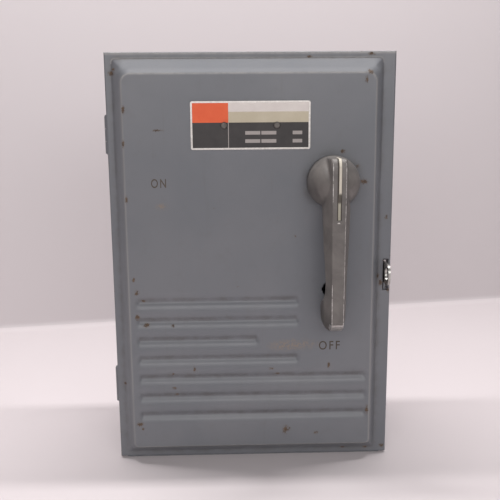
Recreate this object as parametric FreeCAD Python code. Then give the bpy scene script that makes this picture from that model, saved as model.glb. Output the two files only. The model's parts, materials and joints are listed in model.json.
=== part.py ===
import FreeCAD, Part
import math
import os

from FreeCAD import Vector

# A wall-mounted three-pole fusible disconnect switch in a sheet steel case with a hinged, pressed door.
# Millimetres. +X is right, +Y is back towards the wall, +Z is up, seen by a person facing the door.
# The origin is the middle of the case's bottom face. The switch is drawn off, with its door shut.

AXIS_X = Vector(1, 0, 0)
AXIS_Y = Vector(0, 1, 0)
AXIS_Z = Vector(0, 0, 1)

# Case
SHEET = 1.5
CASE_W = 218.0
CASE_H = 329.5
CASE_D = 104.0
CASE_CORNER_R = 3.0
WALL_HOLE_R = 3.6
WALL_HOLE_DX = 177.8
WALL_HOLE_DZ = 304.8
KNOCKOUT_R = 14.3
KNOCKOUT_X = 45.0
KNOCKOUT_Y = 5.0
KNOCKOUT_SIDE_Z = 62.0

# Door: a flat flange, a steep slope up to a ridge, a shallow slope up to the panel
DOOR_W = 225.0
DOOR_H = 331.5
DOOR_BOTTOM = 1.5
DOOR_GAP = 1.0
DOOR_SKIRT = 10.0
FLANGE = {"left": 5.5, "right": 10.0, "bottom": 6.0, "top": 5.2}
RIDGE = {"left": 11.6, "right": 13.8, "bottom": 11.0, "top": 11.8}
PANEL = {"left": 15.7, "right": 16.4, "bottom": 14.8, "top": 16.6}
PANEL_CORNER_RS = (8.0, 3.5)
RIDGE_RISE = 6.0
PANEL_RISE = 9.0

# Stiffening grooves pressed into the door panel
GROOVE_PITCH = 16.15
GROOVE_TOP_Z = 137.2
GROOVE_HALF_W = 3.75
GROOVE_DEPTH = 1.8
GROOVE_LEFT = 17.5
GROOVE_RIGHTS = (151.0, 151.0, 118.0, 151.0, 207.0, 207.0, 207.0)

# Handle
HANDLE_X = 62.5
HANDLE_Z = 234.0
HUB_R = 20.3
HUB_H = 35.5
HUB_RIM_H = 3.0
HUB_WAIST = (16.5, 21.5)
HUB_FLAT_R = 6.0
HUB_CLEAR = 3.0
SHAFT_R = 6.0
SHAFT_BORE_DEPTH = 28.0
HUB_PIN_R = 1.6
HUB_PIN_BACK = 6.0
LOCK_HOLE_R = 6.6
LOCK_HOLE_Z = 147.0
RUNNING = 0.06

# Operating linkage: the handle turns 90 degrees, its drive pin lifts the slide, the slide turns the rotor
DRIVE_R = 20.0
DRIVE_PIN_R = 3.0
SLIDE_PIN_PLAY = 0.9
SLIDE_TRAVEL = 2 * DRIVE_R * math.sin(math.radians(45))
ROTOR_SWING = 70.0
CRANK_R = SLIDE_TRAVEL / 2 / math.sin(math.radians(ROTOR_SWING / 2))

# Switch
POLES = (-70.0, -32.0, 6.0)
ROTOR_Y = 8.0
ROTOR_Z = 172.0
ROTOR_R = 10.0
JOURNAL_R = 6.0
BLADE_R = 36.0
BLADE_HALF_W = 7.0
BLADE_T = 2.0
JAW_PLAY = 0.15
COPPER_T = 1.5
BASE_LEFT = -90.0
BASE_RIGHT = 26.0
BASE_T = 13.5
BARRIER_T = 1.5
FUSE_R = 10.3
FUSE_LENGTH = 76.0
FERRULE_LENGTH = 16.0
FERRULE_T = 0.8
FERRULE_END_T = 1.2
FUSE_Y = 19.0
FUSE_Z = 52.0
LUG_BORE_R = 4.0

# Planes worked out from the above
FRONT = -CASE_D / 2
BACK = CASE_D / 2
FLANGE_BACK = FRONT - DOOR_GAP
FLANGE_FRONT = FLANGE_BACK - SHEET
PANEL_FRONT = FLANGE_FRONT - PANEL_RISE
PANEL_BACK = PANEL_FRONT + SHEET
DOOR_TOP = DOOR_BOTTOM + DOOR_H
WALL_INNER = BACK - SHEET
PAN_FRONT = WALL_INNER - 4.0
BASE_FRONT = PAN_FRONT - BASE_T
SIDE_INNER = CASE_W / 2 - SHEET

# Hinges at the door's left edge
HINGE_X = -DOOR_W / 2 - 0.1
HINGE_Y = FRONT + 5.0
KNUCKLE_R = 2.6
HINGE_PIN_R = 1.5
HINGE_LENGTH = 29.0
HINGE_BOTTOMS = (DOOR_TOP - 283.5, DOOR_TOP - 77.0)
LEAF_T = 1.2

# Hasp that passes through a slot in the door's right flange
HASP_T = 1.8
HASP_Z = (150.0, 167.0)
HASP_X = 107.2
HASP_TIP = FLANGE_FRONT - 17.0
HASP_EYE_R = 5.0
SLOT_X = (106.4, 110.8)
SLOT_Z = (143.5, 169.5)


# ---- helpers ----


def box(x, y, z):
    """A block between three (low, high) pairs."""
    return Part.makeBox(x[1] - x[0], y[1] - y[0], z[1] - z[0], Vector(x[0], y[0], z[0]))


def rod(start, radius, length, axis):
    return Part.makeCylinder(radius, length, Vector(*start), axis)


def ring(start, inner, outer, length, axis):
    return rod(start, outer, length, axis).cut(rod(start, inner, length, axis))


def fuse(first, *others):
    return first.multiFuse(list(others)).removeSplitter()


def group(shapes):
    return Part.makeCompound(list(shapes))


def edges_along(shape, axis, keep=lambda middle: True):
    """The straight edges of a shape that run along an axis and whose middle passes a test."""
    found = []
    for edge in shape.Edges:
        if not isinstance(edge.Curve, Part.Line):
            continue
        if abs(edge.Curve.Direction.dot(axis)) > 0.999 and keep(edge.CenterOfMass):
            found.append(edge)
    return found


def edges_in_plane(shape, y):
    """The edges of a shape that lie in the plane at that y."""
    tolerance = 0.01
    return [e for e in shape.Edges if abs(e.BoundBox.YMin - y) + abs(e.BoundBox.YMax - y) < tolerance]


def rounded_rectangle(x, z, top_r, bottom_r, y):
    """A wire in the plane at y, wound the same way and with the same eight edges each time."""
    corners = (
        (x[1] - bottom_r, z[0] + bottom_r, bottom_r, -90),
        (x[1] - top_r, z[1] - top_r, top_r, 0),
        (x[0] + top_r, z[1] - top_r, top_r, 90),
        (x[0] + bottom_r, z[0] + bottom_r, bottom_r, 180),
    )
    arcs = []
    for cx, cz, radius, start in corners:
        points = []
        for turn in (0, 45, 90):
            angle = math.radians(start + turn)
            points.append(Vector(cx + radius * math.cos(angle), y, cz + radius * math.sin(angle)))
        arcs.append(Part.Arc(*points))
    edges = []
    for arc, following in zip(arcs, arcs[1:] + arcs[:1]):
        edges.append(arc.toShape())
        edges.append(Part.LineSegment(arc.EndPoint, following.StartPoint).toShape())
    return Part.Wire(edges)


def flat_plate(points, lo, thickness, normal):
    """A plate from (u, v) points: normal "X" takes u, v as y, z, and normal "Y" takes them as x, z."""
    if normal == "X":
        corners = [Vector(lo, u, v) for u, v in points]
        depth = AXIS_X * thickness
    else:
        corners = [Vector(u, lo, v) for u, v in points]
        depth = AXIS_Y * thickness
    return Part.Face(Part.makePolygon(corners + corners[:1])).extrude(depth)


def link_plate(a, radius_a, b, radius_b, lo, thickness, normal):
    """Two discs joined by their outer tangents, as a flat link."""
    length = math.hypot(b[0] - a[0], b[1] - a[1])
    heading = math.atan2(b[1] - a[1], b[0] - a[0])
    spread = math.acos((radius_a - radius_b) / length)
    corners = []
    for centre, radius, side in ((a, radius_a, 1), (b, radius_b, 1), (b, radius_b, -1), (a, radius_a, -1)):
        angle = heading + side * spread
        corners.append((centre[0] + radius * math.cos(angle), centre[1] + radius * math.sin(angle)))
    web = flat_plate(corners, lo, thickness, normal)
    axis = AXIS_X if normal == "X" else AXIS_Y
    discs = []
    for centre, radius in ((a, radius_a), (b, radius_b)):
        start = (lo, *centre) if normal == "X" else (centre[0], lo, centre[1])
        discs.append(rod(start, radius, thickness, axis))
    return fuse(web, *discs)


def screw(x, seat_y, z, head_r, head_h, shank_r, shank_length):
    """A slotted screw whose head sits on a face at seat_y and whose shank runs back into it."""
    slot_w = head_r * 0.28
    head = rod((x, seat_y - head_h, z), head_r, head_h, AXIS_Y)
    rim = [e for e in head.Edges if abs(e.BoundBox.YMax - (seat_y - head_h)) < 0.01]
    head = head.makeFillet(head_h * 0.4, rim)
    shank = rod((x, seat_y, z), shank_r, shank_length, AXIS_Y)
    slot = box((x - head_r, x + head_r), (seat_y - head_h, seat_y - head_h * 0.5), (z - slot_w, z + slot_w))
    return fuse(head, shank).cut(slot)


# ---- case ----


def wall_hole_places():
    middle = CASE_H / 2
    return [(sx * WALL_HOLE_DX / 2, middle + sz * WALL_HOLE_DZ / 2) for sx in (-1, 1) for sz in (-1, 1)]


def knockouts(radius, inset, thickness):
    """Round blanks in the top, the bottom and both sides, set in from the outer faces."""
    discs = []
    for x in (-KNOCKOUT_X, KNOCKOUT_X):
        discs.append(rod((x, KNOCKOUT_Y, inset), radius, thickness, AXIS_Z))
        discs.append(rod((x, KNOCKOUT_Y, CASE_H - inset - thickness), radius, thickness, AXIS_Z))
    for start in (-CASE_W / 2 + inset, CASE_W / 2 - inset - thickness):
        discs.append(rod((start, KNOCKOUT_Y, KNOCKOUT_SIDE_Z), radius, thickness, AXIS_X))
    return discs


PAN_HOLES = [(-97.0, 36.0), (56.0, 36.0), (-97.0, 296.0), (56.0, 296.0)]
PAN_SCREW_R = 2.5
BASE_SCREW_R = 2.0
BASE_SCREWS = [(x, z) for x in (-84.0, 20.0) for z in (213.0, 268.0, 32.0, 130.0)]
BRACKET_SCREWS = [(50.0, 156.0), (50.0, 228.0), (-90.5, 163.0), (-90.5, 181.0)]
GROUND_X = (68.0, 102.0)
GROUND_Z = (34.0, 44.0)
GROUND_FIXING_X = (71.0, 99.0)
GROUND_TERMINALS = (78.0, 85.0, 92.0)
RIVET_R = 1.6
KEEPER_Y = -34.0
KEEPER_RIVET_ZS = (227.0, 246.0)
HASP_RIVET_Y = -28.0
HASP_RIVET_ZS = (154.0, 163.0)
HASP_NOTCH = 9.0


def enclosure_body():
    outer = box((-CASE_W / 2, CASE_W / 2), (FRONT, BACK), (0, CASE_H))
    outer = outer.makeFillet(CASE_CORNER_R, edges_along(outer, AXIS_Y))
    outer = outer.makeFillet(CASE_CORNER_R - 1, edges_in_plane(outer, BACK))
    hollow = box((-SIDE_INNER, SIDE_INNER), (FRONT - 1, WALL_INNER), (SHEET, CASE_H - SHEET))
    hollow = hollow.makeFillet(CASE_CORNER_R - SHEET, edges_along(hollow, AXIS_Y))
    cuts = knockouts(KNOCKOUT_R, 0, SHEET)
    for x, z in wall_hole_places():
        cuts.append(rod((x, WALL_INNER, z), WALL_HOLE_R, SHEET, AXIS_Y))
    for x, z in PAN_HOLES:
        cuts.append(rod((x, WALL_INNER, z), PAN_SCREW_R, SHEET, AXIS_Y))
    for x in GROUND_FIXING_X:
        cuts.append(rod((x, WALL_INNER, sum(GROUND_Z) / 2), RIVET_R, SHEET, AXIS_Y))
    for z in HASP_RIVET_ZS:
        cuts.append(rod((SIDE_INNER, HASP_RIVET_Y, z), RIVET_R, SHEET, AXIS_X))
    for z in KEEPER_RIVET_ZS:
        cuts.append(rod((SIDE_INNER, KEEPER_Y, z), RIVET_R, SHEET, AXIS_X))
    margin = 1.0
    notch_z = (HASP_Z[0] - margin, HASP_Z[1] + margin)
    cuts.append(box((SIDE_INNER - 1, CASE_W / 2 + 1), (FRONT, FRONT + HASP_NOTCH), notch_z))
    return outer.cut(hollow).cut(cuts)


def knockout_discs():
    return group(knockouts(KNOCKOUT_R, 0.5, SHEET))


def hinge_knuckles(bottom, thirds):
    """Rings round the hinge axis. Three make a hinge: thirds picks the lowest, middle or highest."""
    gap = 0.3
    length = (HINGE_LENGTH - 2 * gap) / 3
    rings = []
    for third in thirds:
        start = (HINGE_X, HINGE_Y, bottom + third * (length + gap))
        rings.append(rod(start, KNUCKLE_R, length, AXIS_Z))
    return rings


def middle_third(bottom, margin):
    third = HINGE_LENGTH / 3
    return (bottom + third - margin, bottom + 2 * third + margin)


def hinge_case_leaves():
    leaves = []
    outer = -CASE_W / 2
    for bottom in HINGE_BOTTOMS:
        z = (bottom, bottom + HINGE_LENGTH)
        plate = box((outer - LEAF_T, outer), (HINGE_Y, HINGE_Y + 20), z)
        neck = box((HINGE_X, outer), (HINGE_Y + 0.6, HINGE_Y + KNUCKLE_R), z)
        leaf = fuse(plate, neck, *hinge_knuckles(bottom, (0, 2)))
        room = box((HINGE_X - 4, outer + 1), (HINGE_Y - 4, HINGE_Y + 4), middle_third(bottom, 0.1))
        leaves.append(leaf.cut(room).cut(hinge_pin_hole(bottom, HINGE_PIN_R)))
    return group(leaves)


def hinge_pin_hole(bottom, radius):
    return rod((HINGE_X, HINGE_Y, bottom - 1), radius, HINGE_LENGTH + 2, AXIS_Z)


def hinge_pins():
    head_h = 1.2
    pins = []
    for bottom in HINGE_BOTTOMS:
        shank = rod((HINGE_X, HINGE_Y, bottom - 0.8), HINGE_PIN_R, HINGE_LENGTH + 0.8, AXIS_Z)
        head = rod((HINGE_X, HINGE_Y, bottom + HINGE_LENGTH), KNUCKLE_R - 0.4, head_h, AXIS_Z)
        rim = [e for e in head.Edges if abs(e.BoundBox.ZMin - (bottom + HINGE_LENGTH + head_h)) < 0.01]
        pins.append(fuse(shank, head.makeFillet(0.5, rim)))
    return group(pins)


def padlock_hasp():
    """A joggled strap: riveted inside the side wall, then stepped out in line with it to pass the door."""
    root = SIDE_INNER - HASP_T
    bend_back = FRONT + HASP_NOTCH - 1.0
    bend_front = bend_back - 3.0
    outline = [
        (root, HASP_RIVET_Y + 6),
        (root + HASP_T, HASP_RIVET_Y + 6),
        (root + HASP_T, bend_back),
        (HASP_X + HASP_T, bend_front),
        (HASP_X + HASP_T, HASP_TIP),
        (HASP_X, HASP_TIP),
        (HASP_X, bend_front),
        (root, bend_back),
    ]
    corners = [Vector(x, y, HASP_Z[0]) for x, y in outline]
    strap = Part.Face(Part.makePolygon(corners + corners[:1])).extrude(AXIS_Z * (HASP_Z[1] - HASP_Z[0]))
    tip_edges = edges_along(strap, AXIS_X, lambda middle: middle.y < HASP_TIP + 0.1)
    strap = strap.makeFillet(7.0, tip_edges)
    eye_y = HASP_TIP + 8.0
    eye = rod((HASP_X - 1, eye_y, sum(HASP_Z) / 2), HASP_EYE_R, HASP_T + 2, AXIS_X)
    holes = [rod((root, HASP_RIVET_Y, z), RIVET_R, HASP_T, AXIS_X) for z in HASP_RIVET_ZS]
    return strap.cut([eye] + holes)


def side_rivets(places, inner_x):
    """Round-head rivets through the right wall, from a bracket's inner face at inner_x."""
    rivets = []
    for y, z in places:
        shank = rod((inner_x, y, z), RIVET_R, CASE_W / 2 - inner_x, AXIS_X)
        inner = rod((inner_x - 1.2, y, z), RIVET_R * 1.8, 1.2, AXIS_X)
        outer = rod((CASE_W / 2, y, z), RIVET_R * 1.8, 0.9, AXIS_X)
        rivets.append(fuse(shank, inner, outer))
    return group(rivets)


def mounting_pan():
    pan = box((-103, 62), (PAN_FRONT, PAN_FRONT + SHEET), (28, 304))
    pan = pan.makeFillet(6.0, edges_along(pan, AXIS_Y))
    holes = [rod((x, PAN_FRONT, z), PAN_SCREW_R, SHEET, AXIS_Y) for x, z in PAN_HOLES]
    for x, z in BASE_SCREWS + BRACKET_SCREWS:
        holes.append(rod((x, PAN_FRONT, z), BASE_SCREW_R, SHEET, AXIS_Y))
    return pan.cut(holes)


def pan_spacers():
    start_y = PAN_FRONT + SHEET
    return group(ring((x, start_y, z), PAN_SCREW_R, 5.0, WALL_INNER - start_y, AXIS_Y) for x, z in PAN_HOLES)


def pan_screws():
    length = BACK - PAN_FRONT
    return group(screw(x, PAN_FRONT, z, 4.6, 2.6, PAN_SCREW_R, length) for x, z in PAN_HOLES)


# ---- fixed switch parts ----

LINE_BASE_Z = (205.0, 276.0)
FUSE_BASE_Z = (24.0, 138.0)
BARRIER_XS = [(POLES[0] + POLES[1]) / 2, (POLES[1] + POLES[2]) / 2]
BARRIER_FRONT = -2.0
BARRIER_SEAT = 2.0
LINE_LUG_Z = (240.0, 258.0)
LOAD_LUG_Z = (30.0, 46.0)
LUG_HALF_W = 7.0
LUG_DEPTH = 12.0
STRAP_FRONT = BASE_FRONT - COPPER_T
UPPER_CLIP_Z = (FUSE_Z + FUSE_LENGTH - 14, FUSE_Z + FUSE_LENGTH - 2)
LOWER_CLIP_Z = (FUSE_Z + 2, FUSE_Z + 14)


def barriers(z):
    depth = (BARRIER_FRONT, BASE_FRONT + BARRIER_SEAT)
    return [box((x - BARRIER_T / 2, x + BARRIER_T / 2), depth, z) for x in BARRIER_XS]


def insulating_base(z):
    """A moulded block with rounded edges, slots for the barriers and holes for its screws."""
    block = box((BASE_LEFT, BASE_RIGHT), (BASE_FRONT, PAN_FRONT), z)
    block = block.makeFillet(3.0, edges_along(block, AXIS_Y))
    block = block.makeFillet(1.2, edges_in_plane(block, BASE_FRONT))
    holes = []
    for x, hole_z in BASE_SCREWS:
        if z[0] < hole_z < z[1]:
            holes.append(rod((x, BASE_FRONT, hole_z), BASE_SCREW_R, BASE_T, AXIS_Y))
    return block.cut(holes + barriers(z))


def base_screws():
    length = BASE_T + SHEET
    return group(screw(x, BASE_FRONT, z, 3.8, 2.2, BASE_SCREW_R, length) for x, z in BASE_SCREWS)


JAW_REACH = 22.0
JAW_WEB = 37.2
LEAF_DEPTH = 9.0


def contact_jaw(x, direction):
    """Two leaves that grip a blade's end, a web past the blade's tip and a strap back to the base."""
    inner = BLADE_T / 2 + JAW_PLAY
    leaf_t = 1.2
    near = ROTOR_Z + direction * JAW_REACH
    web = ROTOR_Z + direction * JAW_WEB
    far = web + direction * COPPER_T
    leaf_z = (min(near, far), max(near, far))
    web_z = (min(web, far), max(web, far))
    leaf_y = (ROTOR_Y - LEAF_DEPTH, ROTOR_Y + LEAF_DEPTH)
    left = box((x - inner - leaf_t, x - inner), leaf_y, leaf_z)
    right = box((x + inner, x + inner + leaf_t), leaf_y, leaf_z)
    bridge = box((x - inner - leaf_t, x + inner + leaf_t), leaf_y, web_z)
    strap = box((x - 5, x + 5), (leaf_y[1] - 4, BASE_FRONT), web_z)
    return fuse(left, right, bridge, strap)


def line_jaws():
    """The upper contacts, each with a foot that runs up under its lug."""
    jaws = []
    foot_z = (ROTOR_Z + JAW_WEB, LINE_LUG_Z[1] + 3)
    for x in POLES:
        foot = box((x - 8, x + 8), (STRAP_FRONT, BASE_FRONT), foot_z)
        jaws.append(fuse(contact_jaw(x, 1), foot))
    return group(jaws)


def fuse_jaws():
    """The lower contacts, each with a short foot that meets the fuse clip below it."""
    jaws = []
    foot_z = (UPPER_CLIP_Z[1] + 1, ROTOR_Z - JAW_WEB)
    for x in POLES:
        foot = box((x - 8, x + 8), (STRAP_FRONT, BASE_FRONT), foot_z)
        jaws.append(fuse(contact_jaw(x, -1), foot))
    return group(jaws)


def fuse_clip(x, clip_z, plate_z):
    """A spring ring, open to the front, on a copper plate."""
    height = clip_z[1] - clip_z[0]
    grip = FUSE_R + 0.15
    hoop = ring((x, FUSE_Y, clip_z[0]), grip, grip + 1.2, height, AXIS_Z)
    mouth = box((x - 8.2, x + 8.2), (FUSE_Y - 14, FUSE_Y - 4), clip_z)
    stem = box((x - 3.5, x + 3.5), (FUSE_Y + grip + 0.5, STRAP_FRONT), clip_z)
    plate = box((x - 8, x + 8), (STRAP_FRONT, BASE_FRONT), plate_z)
    return fuse(hoop.cut(mouth), stem, plate)


def upper_fuse_clips():
    return group(fuse_clip(x, UPPER_CLIP_Z, (UPPER_CLIP_Z[0] - 4, UPPER_CLIP_Z[1] + 1)) for x in POLES)


def lower_fuse_clips():
    return group(fuse_clip(x, LOWER_CLIP_Z, (LOAD_LUG_Z[0] - 2, LOWER_CLIP_Z[1] + 4)) for x in POLES)


def fuse_tubes():
    start_z = FUSE_Z + FERRULE_END_T
    length = FUSE_LENGTH - 2 * FERRULE_END_T
    return group(rod((x, FUSE_Y, start_z), FUSE_R - FERRULE_T, length, AXIS_Z) for x in POLES)


def fuse_ferrules():
    """Brass caps over both ends of each fuse."""
    caps = []
    for x in POLES:
        for bottom, top_cap in ((FUSE_Z, False), (FUSE_Z + FUSE_LENGTH - FERRULE_LENGTH, True)):
            shell = rod((x, FUSE_Y, bottom), FUSE_R, FERRULE_LENGTH, AXIS_Z)
            bore_z = bottom if top_cap else bottom + FERRULE_END_T
            bore = rod((x, FUSE_Y, bore_z), FUSE_R - FERRULE_T, FERRULE_LENGTH - FERRULE_END_T, AXIS_Z)
            caps.append(shell.cut(bore))
    return group(caps)


def wire_lug(x, z):
    """A box terminal with a wire hole from top to bottom and a hole for its clamping screw."""
    depth = (STRAP_FRONT - LUG_DEPTH, STRAP_FRONT)
    block = box((x - LUG_HALF_W, x + LUG_HALF_W), depth, z)
    block = block.makeFillet(1.2, edges_along(block, AXIS_Z))
    middle_y = STRAP_FRONT - LUG_DEPTH / 2
    wire = rod((x, middle_y, z[0]), LUG_BORE_R, z[1] - z[0], AXIS_Z)
    tapped = rod((x, depth[0], sum(z) / 2), 3.0, 1.6, AXIS_Y)
    return block.cut([wire, tapped])


def lug_screws():
    screws = []
    for z in (LINE_LUG_Z, LOAD_LUG_Z):
        for x in POLES:
            screws.append(screw(x, STRAP_FRONT - LUG_DEPTH, sum(z) / 2, 3.6, 3.4, 3.0, 1.6))
    return group(screws)


SHIELD_Z = (222.0, 276.0)


def line_shield():
    """A fibre sheet across the front of the line terminals, resting on the barriers' front edges."""
    shield = box((BASE_LEFT, BASE_RIGHT), (BARRIER_FRONT - BARRIER_T, BARRIER_FRONT), SHIELD_Z)
    return shield.makeFillet(4.0, edges_along(shield, AXIS_Y))


# ---- mechanism fixed to the pan ----

BRACKET_X = 36.0
BRACKET_T = 2.0
SLIDE_X = 44.0
SLIDE_T = 3.0
SLIDE_FRONT = -24.0
SLIDE_BACK = 6.0
SLIDE_Z = (146.0, 241.0)
STUD_Y = -2.0
STUD_R = 3.0
STUD_ZS = (203.0, 231.0)
BUSH_R = 8.5
SPRING_Y = 17.0
SPRING_LUG_Z = (188.0, 190.0)
SLIDE_LUG_Z = (235.0, 240.0)
BRACKET_Z = (148.0, 238.0)


def mechanism_bracket():
    """An angle plate that carries the rotor's right bush, the slide's studs and the spring's fixed end."""
    plate = box((BRACKET_X, BRACKET_X + BRACKET_T), (-12, PAN_FRONT), BRACKET_Z)
    plate = plate.makeFillet(8.0, edges_along(plate, AXIS_X, lambda middle: middle.y < 0))
    foot = box((BRACKET_X, BRACKET_X + 21), (PAN_FRONT - BRACKET_T, PAN_FRONT), BRACKET_Z)
    lug = box((BRACKET_X, BRACKET_X + 14), (SPRING_Y - 4, SPRING_Y + 4), SPRING_LUG_Z)
    holes = [rod((BRACKET_X, ROTOR_Y, ROTOR_Z), BUSH_R, BRACKET_T, AXIS_X)]
    for z in STUD_ZS:
        holes.append(rod((BRACKET_X, STUD_Y, z), STUD_R - 1, BRACKET_T, AXIS_X))
    for x, z in BRACKET_SCREWS:
        if x > 0:
            holes.append(rod((x, PAN_FRONT - BRACKET_T, z), BASE_SCREW_R, BRACKET_T, AXIS_Y))
    return fuse(plate, foot, lug).cut(holes)


def bearing_bracket():
    """The smaller angle plate at the rotor's left end."""
    x = -98.0
    z = (157.0, 187.0)
    plate = box((x, x + BRACKET_T), (-6, PAN_FRONT), z)
    plate = plate.makeFillet(10.0, edges_along(plate, AXIS_X, lambda middle: middle.y < 0))
    foot = box((x, x + 13), (PAN_FRONT - BRACKET_T, PAN_FRONT), z)
    holes = [rod((x, ROTOR_Y, ROTOR_Z), BUSH_R, BRACKET_T, AXIS_X)]
    for screw_x, screw_z in BRACKET_SCREWS:
        if screw_x < 0:
            holes.append(rod((screw_x, PAN_FRONT - BRACKET_T, screw_z), BASE_SCREW_R, BRACKET_T, AXIS_Y))
    return fuse(plate, foot).cut(holes)


def bracket_screws():
    length = BRACKET_T + SHEET
    seat = PAN_FRONT - BRACKET_T
    return group(screw(x, seat, z, 3.8, 2.2, BASE_SCREW_R, length) for x, z in BRACKET_SCREWS)


def rotor_bushes():
    """Flanged bushes that carry the rotor's journals."""
    bore = JOURNAL_R + RUNNING
    bushes = []
    for plate_x, flange_x in ((-98.0, -96.0), (BRACKET_X, BRACKET_X - 1.2)):
        barrel = ring((plate_x, ROTOR_Y, ROTOR_Z), bore, BUSH_R, BRACKET_T, AXIS_X)
        flange = ring((flange_x, ROTOR_Y, ROTOR_Z), bore, BUSH_R + 2, 1.2, AXIS_X)
        bushes.append(fuse(barrel, flange))
    return group(bushes)


def guide_studs():
    """Shoulder studs from the bracket through the slide's slot, with heads that keep the slide on."""
    end = SLIDE_X + SLIDE_T + 0.3
    studs = []
    for z in STUD_ZS:
        tail = rod((BRACKET_X, STUD_Y, z), STUD_R - 1, BRACKET_T, AXIS_X)
        shank = rod((BRACKET_X + BRACKET_T, STUD_Y, z), STUD_R, end - BRACKET_X - BRACKET_T, AXIS_X)
        head = rod((end, STUD_Y, z), STUD_R + 2, 1.8, AXIS_X)
        studs.append(fuse(tail, shank, head))
    return group(studs)


def opening_spring():
    """A tension spring between the bracket's lug and the slide's lug, which pulls the switch open."""
    wire_r = 0.6
    coil_r = 3.4
    turns = 15
    low = SPRING_LUG_Z[1] + wire_r + 0.1
    high = SLIDE_LUG_Z[0] - wire_r - 0.1
    path = Part.makeHelix((high - low) / turns, high - low, coil_r)
    section = Part.Wire(Part.makeCircle(wire_r, Vector(coil_r, 0, 0), AXIS_Y))
    coil = Part.Wire(path).makePipeShell([section], True, True)
    coil.translate(Vector(SLIDE_X + SLIDE_T / 2, SPRING_Y, low))
    return coil


KEEPER_Z = (222.0, 251.0)
KEEPER_LIP_Y = -47.5
KEEPER_T = 1.5


def interlock_keeper():
    """An angle on the right wall whose lip stands in front of the handle's hook when the switch is on."""
    wall = box((SIDE_INNER - KEEPER_T, SIDE_INNER), (KEEPER_LIP_Y, -28), KEEPER_Z)
    lip = box((97, SIDE_INNER), (KEEPER_LIP_Y, KEEPER_LIP_Y + KEEPER_T), KEEPER_Z)
    holes = [rod((SIDE_INNER - KEEPER_T, KEEPER_Y, z), RIVET_R, KEEPER_T, AXIS_X) for z in KEEPER_RIVET_ZS]
    return fuse(wall, lip).cut(holes)


def ground_bar():
    bar = box(GROUND_X, (WALL_INNER - 7, WALL_INNER), GROUND_Z)
    bar = bar.makeFillet(1.0, edges_along(bar, AXIS_Y))
    middle = sum(GROUND_Z) / 2
    holes = [rod((x, WALL_INNER - 7, middle), RIVET_R, 7, AXIS_Y) for x in GROUND_FIXING_X]
    for x in GROUND_TERMINALS:
        holes.append(rod((x, WALL_INNER - 7, middle), 1.8, 2.0, AXIS_Y))
    return bar.cut(holes)


def ground_screws():
    middle = sum(GROUND_Z) / 2
    seat = WALL_INNER - 7
    fixings = [screw(x, seat, middle, 2.8, 1.8, RIVET_R, 7 + SHEET) for x in GROUND_FIXING_X]
    clamps = [screw(x, seat, middle, 2.8, 2.4, 1.8, 2.0) for x in GROUND_TERMINALS]
    return group(fixings + clamps)


# ---- slide ----


def slide_plate():
    """A flat bar with a long slot for the guide studs and a short one for the rotor's crank pin."""
    plate = box((SLIDE_X, SLIDE_X + SLIDE_T), (SLIDE_FRONT, SLIDE_BACK), SLIDE_Z)
    lug = box((SLIDE_X, SLIDE_X + SLIDE_T), (SLIDE_BACK, SPRING_Y + 4), SLIDE_LUG_Z)
    plate = fuse(plate, lug)
    plate = plate.makeFillet(4.0, edges_along(plate, AXIS_X, lambda middle: middle.z < SLIDE_Z[0] + 1))
    half = STUD_R + 0.3
    long_slot = slot_cutter(STUD_Y, (STUD_ZS[0] - SLIDE_TRAVEL, STUD_ZS[1]), half)
    low_y = ROTOR_Y - CRANK_R - 0.3
    high_y = ROTOR_Y - CRANK_R * math.cos(math.radians(ROTOR_SWING / 2)) + 0.3
    pin_z = ROTOR_Z - SLIDE_TRAVEL / 2
    half = DRIVE_PIN_R + 0.6
    ends = [rod((SLIDE_X, y, pin_z), half, SLIDE_T, AXIS_X) for y in (low_y, high_y)]
    middle = box((SLIDE_X, SLIDE_X + SLIDE_T), (low_y, high_y), (pin_z - half, pin_z + half))
    return plate.cut([long_slot, middle] + ends)


def slot_cutter(y, z, half):
    ends = [rod((SLIDE_X, y, end), half, SLIDE_T, AXIS_X) for end in z]
    return fuse(box((SLIDE_X, SLIDE_X + SLIDE_T), (y - half, y + half), z), *ends)


YOKE_X = (HANDLE_X - DRIVE_R - DRIVE_PIN_R - 2.0, HANDLE_X - 7.0)
YOKE_FRONT = -34.0
YOKE_WEB = 2.0


def slide_yoke():
    """A channel across the top of the slide; the handle's drive pin runs between its two ledges."""
    pin_z = HANDLE_Z - SLIDE_TRAVEL / 2
    half = DRIVE_PIN_R + SLIDE_PIN_PLAY
    ledge_t = 2.5
    web = box(YOKE_X, (SLIDE_FRONT - YOKE_WEB, SLIDE_FRONT), (pin_z - half - ledge_t, pin_z + half + ledge_t))
    top = box(YOKE_X, (YOKE_FRONT, SLIDE_FRONT), (pin_z + half, pin_z + half + ledge_t))
    bottom = box(YOKE_X, (YOKE_FRONT, SLIDE_FRONT), (pin_z - half - ledge_t, pin_z - half))
    return fuse(web, top, bottom)


# ---- rotor ----


def at_rest(shape):
    """Turns a rotor piece from its closed pose, where it is drawn, to its open one."""
    return shape.rotated(Vector(0, ROTOR_Y, ROTOR_Z), AXIS_X, ROTOR_SWING)


def blade(x):
    half_t = BLADE_T / 2
    z = (ROTOR_Z - BLADE_R, ROTOR_Z + BLADE_R)
    shape = box((x - half_t, x + half_t), (ROTOR_Y - BLADE_HALF_W, ROTOR_Y + BLADE_HALF_W), z)
    return shape.makeFillet(2.5, edges_along(shape, AXIS_X))


def moving_blades():
    return at_rest(group(blade(x) for x in POLES))


CRANK_X = 39.5
CRANK_T = 3.0


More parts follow.
